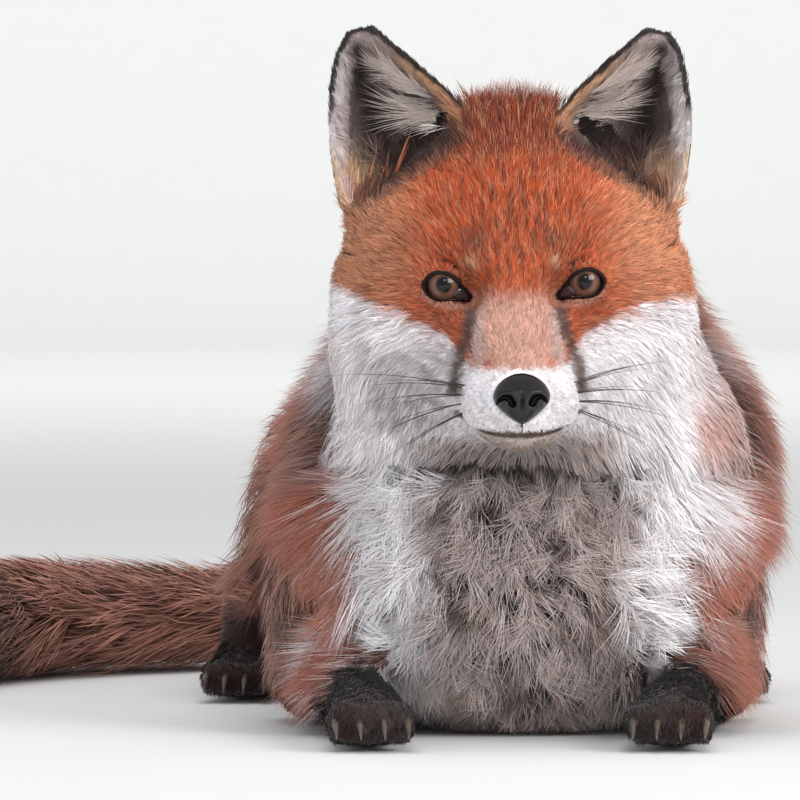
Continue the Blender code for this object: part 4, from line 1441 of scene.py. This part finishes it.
class FOX_OT_lids(bpy.types.Operator):
    """Makes the dark lids round each eye, and the wet corner by the nose"""

    bl_idname = "fox.lids"
    bl_label = "Lids"

    def execute(self, context):
        dark = mottled(
            "lid_margin", 0.6, 0.12, (2600.0, 3.0), (0.005, 0.004, 0.004), (0.020, 0.014, 0.013),
            (0.35, 0.0002),
        )
        wet = mottled(
            "tear_flesh", 0.22, 0.5, (1500.0, 2.0), (0.020, 0.012, 0.014), (0.075, 0.045, 0.050),
            (0.5, 0.0003), Coat_Weight=0.9, Coat_Roughness=0.08,
        )
        loop = smooth_loop(LID_OPENING, 6)
        ahead = np.roll(loop, -1, axis=0) - np.roll(loop, 1, axis=0)
        away = unit(np.stack([-ahead[:, 1], ahead[:, 0]], 1))
        away = spread(away, np.stack([np.arange(len(loop)), np.roll(np.arange(len(loop)), -1)], 1), 3)
        weight = 0.28 + 0.46 * fade(loop[:, 1], -3.5, 0.5)
        # Rows of the rolled margin: outward by the lid's weight, outward beyond it, and lift, in millimetres.
        rows = (
            (-0.6, 0.0, -3.0), (-0.15, 0.0, -0.9), (0.05, 0.0, 0.0), (0.4, 0.0, 0.5), (0.9, 0.0, 0.5),
            (1.4, 0.0, 0.1), (1.4, 0.5, -0.7), (1.4, 1.1, -3.0),
        )
        for end, side in (("right", -1.0), ("left", 1.0)):
            middle = in_head(side * EYE_APART, 0, EYE_SINK - 40)
            places = []
            for reach, further, lift in rows:
                spots = loop + away * (reach * weight + further)[:, None]
                height = lid_height(spots[:, 0], spots[:, 1]) + lift
                u = side * (EYE_APART + spots[:, 0])
                places.append(world_places(np.stack([u, spots[:, 1], height], 1)))
            name = f"lids_{end}"
            margin = shell_mesh(name, np.concatenate(places), len(rows), len(loop), middle)
            piece(name, margin, dark)
            name = f"tear_corner_{end}"
            piece(name, self.corner(name, side, middle), wet)
        return {"FINISHED"}

    def corner(self, name, side, middle):
        """The wet flesh that fills the inner corner, behind the lids."""
        rows, sides = 7, 20
        places = []
        for row in range(rows):
            angle = math.pi / 2 * row / (rows - 1)
            for k in range(sides):
                turn = FULL_TURN * k / sides
                outward = -8.6 + 4.4 * math.sin(angle) * math.cos(turn)
                up = -4.2 + 3.2 * math.sin(angle) * math.sin(turn)
                height = lid_height(outward, up) - 1.9 + 1.1 * math.cos(angle)
                places.append(in_head(side * (EYE_APART + outward), up, height))
        return shell_mesh(name, places, rows, sides, middle)


class FOX_OT_nose(bpy.types.Operator):
    """Makes the nose leather, with its nostrils and the groove between them"""

    bl_idname = "fox.nose"
    bl_label = "Nose"

    def finish(self, face):
        finish = Finish("nose_leather", 0.42, 0.35, Coat_Weight=0.5, Coat_Roughness=0.3)
        # Painted shade: the leather is darker towards the creases between its pebbles.
        pebbles = finish.node(
            "ShaderNodeTexVoronoi", finish.place(), feature="DISTANCE_TO_EDGE", Scale=1500.0,
        ).outputs["Distance"]
        base = np.array(face.nose)
        finish.paint(finish.ramp(pebbles, (0.0, base * 0.3), (0.25, base)))
        finish.bump(pebbles, 0.55, 0.0004)
        return finish.material

    def execute(self, context):
        _, face, _ = settings_of(context)
        rings, sides = 72, 120
        angle = np.repeat(np.linspace(0.0, math.pi * 0.94, rings), sides)
        turn = np.tile(np.arange(sides) * FULL_TURN / sides, rings)
        across = np.sin(angle) ** 0.86 * np.cos(turn)
        up = np.sin(angle) ** 0.86 * np.sin(turn)
        ahead = np.sign(np.cos(angle)) * np.abs(np.cos(angle)) ** 0.75
        narrow = 1.0 - 0.52 * np.clip(-up, 0, 1) ** 1.6 - 0.10 * np.clip(up, 0, 1) ** 2
        u = 12.0 * across * narrow
        v = np.where(up > 0, 10.0 * up, 11.2 * up)
        w = 9.5 * ahead
        front = fade(ahead, 0.0, 0.35)
        # The flat top slopes back from a soft edge over the nostrils.
        w = w - np.clip(v - 2.6, 0.0, None) * 0.55 * front
        w = w + front * 0.9 * np.exp(-(((v - 2.4) / 2.2) ** 2)) - front * 0.05 * np.clip(-v, 0, None) ** 1.5
        # Each nostril is a comma, open by the groove and drawn out to a slit at the side.
        comma = ((4.3, -2.6), (5.4, -0.6), (7.6, 0.2), (9.6, -1.0), (10.8, -3.0))
        flat = np.stack([np.abs(u), v, np.zeros(len(u))], 1)
        hole = to_line(flat, [(*point, 0.0) for point in comma])[0]
        open_width = np.interp(np.abs(u), (3.0, 5.5, 8.0, 11.0), (1.9, 1.7, 1.0, 0.5))
        w = w - front * 4.2 * fade(hole, open_width, open_width * 0.35)
        w = w + front * 0.5 * np.exp(-(((hole - open_width - 1.0) / 1.1) ** 2))
        w = w - front * 0.9 * np.exp(-((u / 0.7) ** 2)) * fade(v, 3.5, 0.0)
        places = world_places(np.stack([u, v, w], 1) + np.array(NOSE_CENTRE))
        mesh = closed_mesh("nose_leather", places, rings, sides)
        piece("nose_leather", mesh, self.finish(face), ("nose",))
        return {"FINISHED"}


def skin_tree():
    mesh = bpy.data.objects["skin"].data
    points = [vertex.co for vertex in mesh.vertices]
    return BVHTree.FromPolygons(points, [tuple(polygon.vertices) for polygon in mesh.polygons])


class FOX_OT_lips(bpy.types.Operator):
    """Makes the dark edge of the lips and the short line under the nose"""

    bl_idname = "fox.lips"
    bl_label = "Lips"

    def execute(self, context):
        tree = skin_tree()
        start = in_head(0, -65.5 + 22 * 0.225 / 0.974, 40)
        line, below = [], []
        for step in range(-22, 23):
            angle = math.radians(step * 3.6)
            ahead = HEAD @ Vector((math.sin(angle), -0.225 * math.cos(angle), 0.974 * math.cos(angle)))
            hit, normal, _, _ = tree.ray_cast(start, ahead.normalized())
            if hit is not None:
                line.append(hit + normal * 0.5 * MM)
        for step in range(8):
            hit, normal, _, _ = tree.ray_cast(in_head(0, -57.5 - step, 120), -HEAD.col[2])
            if hit is not None:
                below.append(hit + normal * 0.1 * MM)
        middle = len(line) / 2
        radii = (
            [0.8 * MM * (1.0 - 0.75 * (abs(i - middle) / middle) ** 2) for i in range(len(line))],
            [0.7 * MM * (1.0 - 0.4 * i / len(below)) for i in range(len(below))],
        )
        dark = mottled(
            "lip_edge", 0.5, 0.4, (1800.0, 3.0), (0.030, 0.018, 0.014), (0.105, 0.062, 0.046), (0.4, 0.0003),
        )
        piece("lip_edges", tubes("lip_edges", (line, below), radii, 8, 0.8), dark)
        return {"FINISHED"}


class FOX_OT_whiskers(bpy.types.Operator):
    """Sets the whiskers in rows on the muzzle, and the few above each eye"""

    bl_idname = "fox.whiskers"
    bl_label = "Whiskers"

    steps = 9

    def strand(self, root, heading, length, droop):
        points = []
        for i in range(self.steps):
            t = i / (self.steps - 1)
            straight = root + heading * length * t
            points.append(straight + Vector((0, 0, -droop * t * t)) + HEAD.col[2] * -0.10 * length * t * t)
        return points

    def taper(self, thick, share):
        return [thick * (1.0 - share * k / (self.steps - 1)) for k in range(self.steps)]

    def execute(self, context):
        _, face, _ = settings_of(context)
        tree = skin_tree()
        rng = np.random.default_rng(5)
        paths, radii = [], []
        for side in (-1.0, 1.0):
            for i in range(face.whiskers):
                row, place = i % 4, i // 4
                v = -43.5 - row * 3.6 + rng.uniform(-0.5, 0.5)
                w = 46.0 - place * 5.0 - row * 0.8 + rng.uniform(-0.6, 0.6)
                hit = tree.ray_cast(in_head(side * 60, v, w), -side * HEAD.col[0])[0]
                if hit is None:
                    continue
                rise = (0.28, 0.10, -0.14, -0.45)[row] + rng.uniform(-0.08, 0.08)
                rise = rise + (0.12 if side > 0 else 0.0)
                back = -0.30 - 0.12 * place + rng.uniform(-0.08, 0.08)
                heading = (HEAD @ Vector((side * 1.0, rise, back))).normalized()
                length = face.whisker_length * (0.55 + 0.15 * place) * rng.uniform(0.85, 1.1)
                paths.append(self.strand(hit - heading * 1.0 * MM, heading, length, length * 0.16))
                radii.append(self.taper(0.25 * MM * rng.uniform(0.8, 1.1), 0.93))
            for i in range(3):
                root = tree.ray_cast(in_head(side * (23 + 3 * i), 10.5 + i, 80), -HEAD.col[2])[0]
                if root is None:
                    continue
                heading = (HEAD @ Vector((side * (0.25 + 0.2 * i), 0.85, 0.35))).normalized()
                paths.append(self.strand(root, heading, 0.024 + 0.003 * i, 0.004))
                radii.append(self.taper(0.20 * MM, 0.92))
        horn = mottled("whisker_horn", 0.35, 0.5, (300.0, 2.0), (0.018, 0.012, 0.011), (0.055, 0.038, 0.033))
        piece("whiskers", tubes("whiskers", paths, radii, 4), horn)
        return {"FINISHED"}


# Each pair of feet: the middle between them, the ankle's and the toes' places out from it, back and
# up, and a foot's width and height, in metres.
FEET = (
    ("fore", 0.002, (0.066, -0.200, 0.0145), (0.063, -0.254, 0.0125), 0.042, 0.030),
    ("hind", -0.010, (0.109, 0.122, 0.013), (0.112, 0.072, 0.0115), 0.037, 0.027),
)


class FOX_OT_claws(bpy.types.Operator):
    """Sets four curved claws in the toes of each foot"""

    bl_idname = "fox.claws"
    bl_label = "Claws"

    def execute(self, context):
        horn = mottled(
            "claw_horn", 0.32, 0.5, (900.0, 4.0, (1.0, 0.12, 1.0)), (0.022, 0.017, 0.014), (0.16, 0.12, 0.09),
            (0.3, 0.0002),
        )
        for pair, middle, ankle, toes, width, height in FEET:
            for end, side in (("right", -1), ("left", 1)):
                places = [Vector((middle + side * out, y, z)) for out, y, z in (ankle, toes)]
                paths = self.paths(*places, width, height)
                radii = [[2.0 * MM * (1.0 - 0.86 * (k / 6) ** 1.4) for k in range(7)]] * len(paths)
                name = f"{pair}claws_{end}"
                piece(name, tubes(name, paths, radii, 8, 1.25), horn)
        return {"FINISHED"}

    def paths(self, ankle, toes, width, height):
        """The middle lines of a foot's four claws."""
        ahead = (toes - ankle).normalized()
        aside = ahead.cross(Vector((0, 0, 1))).normalized()
        paths = []
        for i in range(4):
            share = (i - 1.5) / 1.5
            tip = toes + aside * share * width * 0.36 + ahead * 0.004 * (1 - abs(share))
            tip.z = height * 0.40
            root = tip + ahead * (width * 0.20 - 0.004) + Vector((0, 0, height * 0.03))
            shares = [k / 6 for k in range(7)]
            paths.append([root + ahead * 0.0165 * t + Vector((0, 0, -0.0058 * t * t)) for t in shares])
        return paths


class FOX_OT_head_coat(bpy.types.Operator):
    """Grows the short fur of the face and the longer fur of cheeks and crown"""

    bl_idname = "fox.head_coat"
    bl_label = "Head coat"

    def execute(self, context):
        coat, _, _ = settings_of(context)
        hide = the_hide()
        short = fur_finish("face_fur", 0.62, 0.25, 0.15)

        def free_below(place):
            return 0.85 - 0.65 * fade(head_places(place)[:, 1], -48, -66)

        def high_on_top(place):
            u, v, _ = head_places(place).T
            return 0.85 + 0.45 * fade(v, 48, 72) * fade(np.abs(u), 42, 28)

        grow(coat, hide, "face_fur", FACE, short, 62000, 5, 2, seed=11, tuft=1.0, pull=0.6,
             stray=0.10, curl=0.06, brighten=0.14, ticking=0.32)
        grow(coat, hide, "cheek_fur", CHEEK, short, 34000, 7, 3, seed=12, tuft=1.8, pull=0.65,
             stray=0.12, curl=0.07, brighten=0.12, hug=free_below)
        grow(coat, hide, "crown_fur", CROWN, short, 20000, 5, 3, seed=13, tuft=1.4, pull=0.4,
             stray=0.10, curl=0.06, stand=high_on_top, brighten=0.15, ticking=0.32)
        u, v, w = head_places(hide.places).T
        ridge = (np.abs(u) < 30) & (v > 62) & (w < -56)
        grow(coat, hide, "crown_fringe", CROWN, short, 1600, 4, 3, keep=ridge, seed=14,
             tuft=1.6, pull=0.3, stray=0.2, stand=1.7, reach=0.9, width=0.5, hug=0.5, tint=(coat.grey, 0.35))
        return {"FINISHED"}


class FOX_OT_ear_coat(bpy.types.Operator):
    """Grows the velvet of the ears and the long hairs that cross them from their edges"""

    bl_idname = "fox.ear_coat"
    bl_label = "Ear coat"

    def execute(self, context):
        coat, _, _ = settings_of(context)
        hide = the_hide()
        velvet = fur_finish("ear_fur", 0.7, 0.2, 0.2)
        u, v, _ = head_places(hide.places).T
        out, high, _, from_inner, from_outer, rim = ear_place(u, v)
        facing = hide.normals @ HEAD_COLUMNS
        front = facing[:, 2] > 0.0
        inner = front & (from_inner > 8.0) & (from_inner < 15) & (high > 65) & (high < 92) & (out < 63)
        inner = inner & (facing[:, 1] < 0.35)
        outer = front & (from_outer > 1.5) & (from_outer < 6) & (high > 56) & (high < 98) & (out > 60)
        foot = front & (rim > 2.0) & (high < 56) & (out > 40) & (out < 62)
        pale = (lay(np.array([coat.white]), coat.cream, np.array([0.35]))[0], 0.7)

        def short_at_tip(place):
            u, v, _ = head_places(place).T
            return 1.0 - 0.55 * fade(ear_place(u, v)[1], 90, 102)

        def heading(place, outward, up, forward):
            side = np.sign(head_places(place)[:, 0])
            return np.stack([side * outward, side * 0 + up, side * 0 + forward], 1) @ HEAD_COLUMNS.T

        def sweep_out(place):
            u, v, _ = head_places(place).T
            return heading(place, 1.0, 1.2 * (ear_place(u, v)[2] - 0.42), 0.25)

        def sweep_in(place):
            return heading(place, -0.8, -0.75, 0.2)

        def sweep_up(place):
            return heading(place, 0.5, 1.0, 0.35)

        grow(coat, hide, "ear_velvet", EAR, velvet, 30000, 4, 2, seed=21, tuft=1.0, stray=0.12,
             reach=short_at_tip)
        grow(coat, hide, "ear_lining_inner", EAR, velvet, 1440, 16, 3, keep=inner, seed=22,
             tuft=1.0, pull=0.85, stray=0.16, curl=0.20, stand=5.0, reach=3.0, width=0.7, turn=sweep_out,
             wave=0.15, hug=0.3, tint=pale, tip_from=(0.05, 0.6), brighten=0.14, ticking=0.0)
        grow(coat, hide, "ear_lining_outer", EAR, velvet, 2800, 8, 3, keep=outer, seed=23,
             tuft=1.8, pull=0.8, stray=0.14, curl=0.12, stand=2.5, reach=1.2, width=0.75, turn=sweep_in,
             wave=0.15, hug=0.6, tint=(coat.grey, 0.3), ticking=0.1)
        grow(coat, hide, "ear_foot_fluff", EAR, velvet, 3600, 9, 3, keep=foot, seed=24,
             tuft=2.0, pull=0.7, stray=0.35, curl=0.16, stand=4.0, reach=1.7, width=0.75, turn=sweep_up,
             hug=0.4, tint=(coat.umber, 0.5))
        return {"FINISHED"}


def long_finish():
    return fur_finish("long_fur", 0.6, 0.28, 0.15)


class FOX_OT_body_coat(bpy.types.Operator):
    """Grows the ruff, the clumped fur of the chest, and the coat of back, flanks and belly"""

    bl_idname = "fox.body_coat"
    bl_label = "Body coat"

    def execute(self, context):
        coat, _, _ = settings_of(context)
        hide = the_hide()
        long = long_finish()
        pale = fur_finish("bib_fur", 0.66, 0.25, 0.2)
        left = hide.places[:, 0] > 0
        centre = np.abs(hide.places[:, 0] - 0.006) < 0.058

        def full_at_throat(place):
            return 1.25 + 0.65 * fade(place[:, 2], 0.092, 0.116)

        def full_at_shoulder(place):
            return 1.0 + 0.4 * fade(place[:, 1], 0.03, -0.05) * fade(place[:, 2], 0.08, 0.11)

        grow(coat, hide, "ruff_fur", RUFF, long, 34000, 8, 3, seed=31, tuft=2.2, pull=0.5,
             stray=0.10, curl=0.08, stand=full_at_shoulder, width=0.65)
        grow(coat, hide, "chest_fur", CHEST, pale, 21000, 30, 3, keep=centre, seed=32, tuft=2.7,
             pull=1.0, stray=0.30, wave=0.4, curl=0.26, stand=full_at_throat, reach=0.56, width=0.62, hug=0.8,
             tip_from=(0.40, 0.88), brighten=0.22, ticking=0.3)
        grow(coat, hide, "bib_fur", CHEST, pale, 19000, 9, 3, keep=~centre, seed=37, tuft=2.2,
             pull=0.75, stray=0.12, wave=0.12, curl=0.08, width=0.66, brighten=0.12, ticking=0.1)
        grow(coat, hide, "back_fur", BACK, long, 24000, 8, 2, seed=33, tuft=2.6, pull=0.6)
        for end, keep, seed in (("left", left, 34), ("right", ~left, 35)):
            grow(coat, hide, f"flank_fur_{end}", FLANK, long, 24000, 8, 2, keep=keep,
                 seed=seed, tuft=2.6, pull=0.6, curl=0.08, width=0.8, stand=full_at_shoulder)
        grow(coat, hide, "belly_fur", BELLY, pale, 6000, 6, 2, seed=36, tuft=2.6, pull=0.8)
        return {"FINISHED"}


class FOX_OT_leg_coat(bpy.types.Operator):
    """Grows the coat of the legs and feet"""

    bl_idname = "fox.leg_coat"
    bl_label = "Leg coat"

    def execute(self, context):
        coat, _, _ = settings_of(context)
        hide = the_hide()
        grow(coat, hide, "foreleg_fur", FORELEG, long_finish(), 26000, 5, 2, seed=41, tuft=1.8,
             pull=0.6)
        grow(coat, hide, "hindleg_fur", HINDLEG, long_finish(), 28000, 6, 2, seed=42, tuft=2.2,
             pull=0.7)
        return {"FINISHED"}


class FOX_OT_brush_coat(bpy.types.Operator):
    """Grows the long fur of the brush"""

    bl_idname = "fox.brush_coat"
    bl_label = "Brush coat"

    def execute(self, context):
        coat, _, _ = settings_of(context)
        grow(coat, the_hide(), "brush_fur", BRUSH, long_finish(), 26000, 8, 3, seed=51,
             tuft=3.0, pull=0.8, curl=0.09, wave=0.15)
        return {"FINISHED"}


class FOX_OT_stage(bpy.types.Operator):
    """Sets the floor, the backdrop, the lights and the camera"""

    bl_idname = "fox.stage"
    bl_label = "Stage"

    def light(self, name, place, target, size, power, colour, shines=False):
        lamp = bpy.data.lights.new(name, "AREA")
        lamp.shape = "RECTANGLE"
        lamp.size, lamp.size_y = size
        lamp.energy = power
        lamp.color = colour
        obj = bpy.data.objects.new(name, lamp)
        scene_objects().link(obj)
        obj.location = place
        obj.rotation_euler = (Vector(target) - Vector(place)).to_track_quat("-Z", "Y").to_euler()
        obj.visible_glossy = shines

    def sweep(self, stage):
        """A floor that curves up into a low backdrop, which the lens sees as endless."""
        foot, rise, half_width = 5.6, 0.9, 9.0
        rows = [(-8.0, 0.0), (foot, 0.0)]
        turns = np.linspace(0.1, math.pi / 2, 12)
        rows += [(foot + rise * math.sin(turn), rise - rise * math.cos(turn)) for turn in turns]
        places = [(x, y, z) for y, z in rows for x in (-half_width, half_width)]
        mesh = mesh_from("floor_and_backdrop", places, grid_faces(len(rows), 2, False))
        obj = bpy.data.objects.new("floor_and_backdrop", mesh)
        scene_objects().link(obj)
        base = np.array(stage.floor)
        mesh.materials.append(mottled("studio_paper", 0.9, 0.2, (40.0, 3.0), base * 0.97, base))
        mesh.shade_smooth()

    def execute(self, context):
        _, _, stage = settings_of(context)
        self.sweep(stage)
        face = Vector((0.0, -0.19, 0.17))
        power = stage.light
        self.light("key", (2.3, -2.1, 1.7), face, (1.7, 1.5), 78 * power, (1.0, 0.965, 0.945), True)
        self.light("fill", (-2.2, -1.8, 1.3), face, (1.6, 1.6), 8 * power, (0.88, 0.94, 1.0))
        self.light("over", (0.0, 0.2, 2.6), (0, -0.1, 0.1), (2.4, 2.0), 42 * power, (0.97, 0.98, 1.0))
        self.light("low", (-0.5, -2.6, 0.40), (0, -0.15, 0.10), (1.4, 0.6), 18 * power, (0.95, 0.97, 1.0))
        self.light("glint", (0.45, -2.8, 2.0), face, (0.36, 0.30), 9 * power, (1.0, 1.0, 1.0), True)
        self.light("wall", (0.0, 3.8, 2.8), (0.0, 6.2, 0.4), (6.0, 1.0), 120 * power, (1.0, 1.0, 1.0))
        world = bpy.data.worlds.new("studio")
        context.scene.world = world
        world.use_nodes = True
        sky = world.node_tree.nodes["Background"].inputs
        sky["Color"].default_value = (0.92, 0.95, 1.0, 1.0)
        sky["Strength"].default_value = 0.48 * power

        lens = bpy.data.cameras.new("camera")
        lens.lens = stage.lens
        lens.sensor_width = 36.0
        lens.clip_end = 50.0
        camera = bpy.data.objects.new("camera", lens)
        scene_objects().link(camera)
        # The head stands to the right of the view's middle, and above it.
        aim = EYE_LINE + Vector((-0.0485, 0.0, -0.0497))
        ahead = Vector((0.0, math.cos(stage.elevation), -math.sin(stage.elevation)))
        camera.location = aim - ahead * stage.distance
        camera.rotation_euler = ahead.to_track_quat("-Z", "Y").to_euler()
        context.scene.camera = camera
        context.scene.view_settings.view_transform = "Standard"
        return {"FINISHED"}


class FOX_PT_panel(bpy.types.Panel):
    """Lists the fox's pieces in the order in which they are made"""

    bl_label = "Fox"
    bl_idname = "FOX_PT_panel"
    bl_space_type = "VIEW_3D"
    bl_region_type = "UI"
    bl_category = "Fox"

    def draw(self, context):
        for group in settings_of(context):
            column = self.layout.column(align=True)
            for name in group.__annotations__:
                column.prop(group, name)
        for operator in OPERATORS:
            self.layout.operator(operator.bl_idname)


OPERATORS = (
    FOX_OT_stage, FOX_OT_skin, FOX_OT_eyes, FOX_OT_lids, FOX_OT_nose, FOX_OT_lips, FOX_OT_whiskers,
    FOX_OT_claws, FOX_OT_head_coat, FOX_OT_ear_coat, FOX_OT_body_coat, FOX_OT_leg_coat, FOX_OT_brush_coat,
)
GROUPS = {"fox_coat": FoxCoat, "fox_face": FoxFace, "fox_stage": FoxStage}


def register():
    for name, group in GROUPS.items():
        bpy.utils.register_class(group)
        setattr(bpy.types.Scene, name, PointerProperty(type=group))
    for operator in OPERATORS:
        bpy.utils.register_class(operator)
    bpy.utils.register_class(FOX_PT_panel)


def unregister():
    bpy.utils.unregister_class(FOX_PT_panel)
    for operator in reversed(OPERATORS):
        bpy.utils.unregister_class(operator)
    for name, group in GROUPS.items():
        delattr(bpy.types.Scene, name)
        bpy.utils.unregister_class(group)


def main():
    register()
    for operator in OPERATORS:
        group, action = operator.bl_idname.split(".")
        getattr(getattr(bpy.ops, group), action)()


if __name__ == "__main__":
    main()
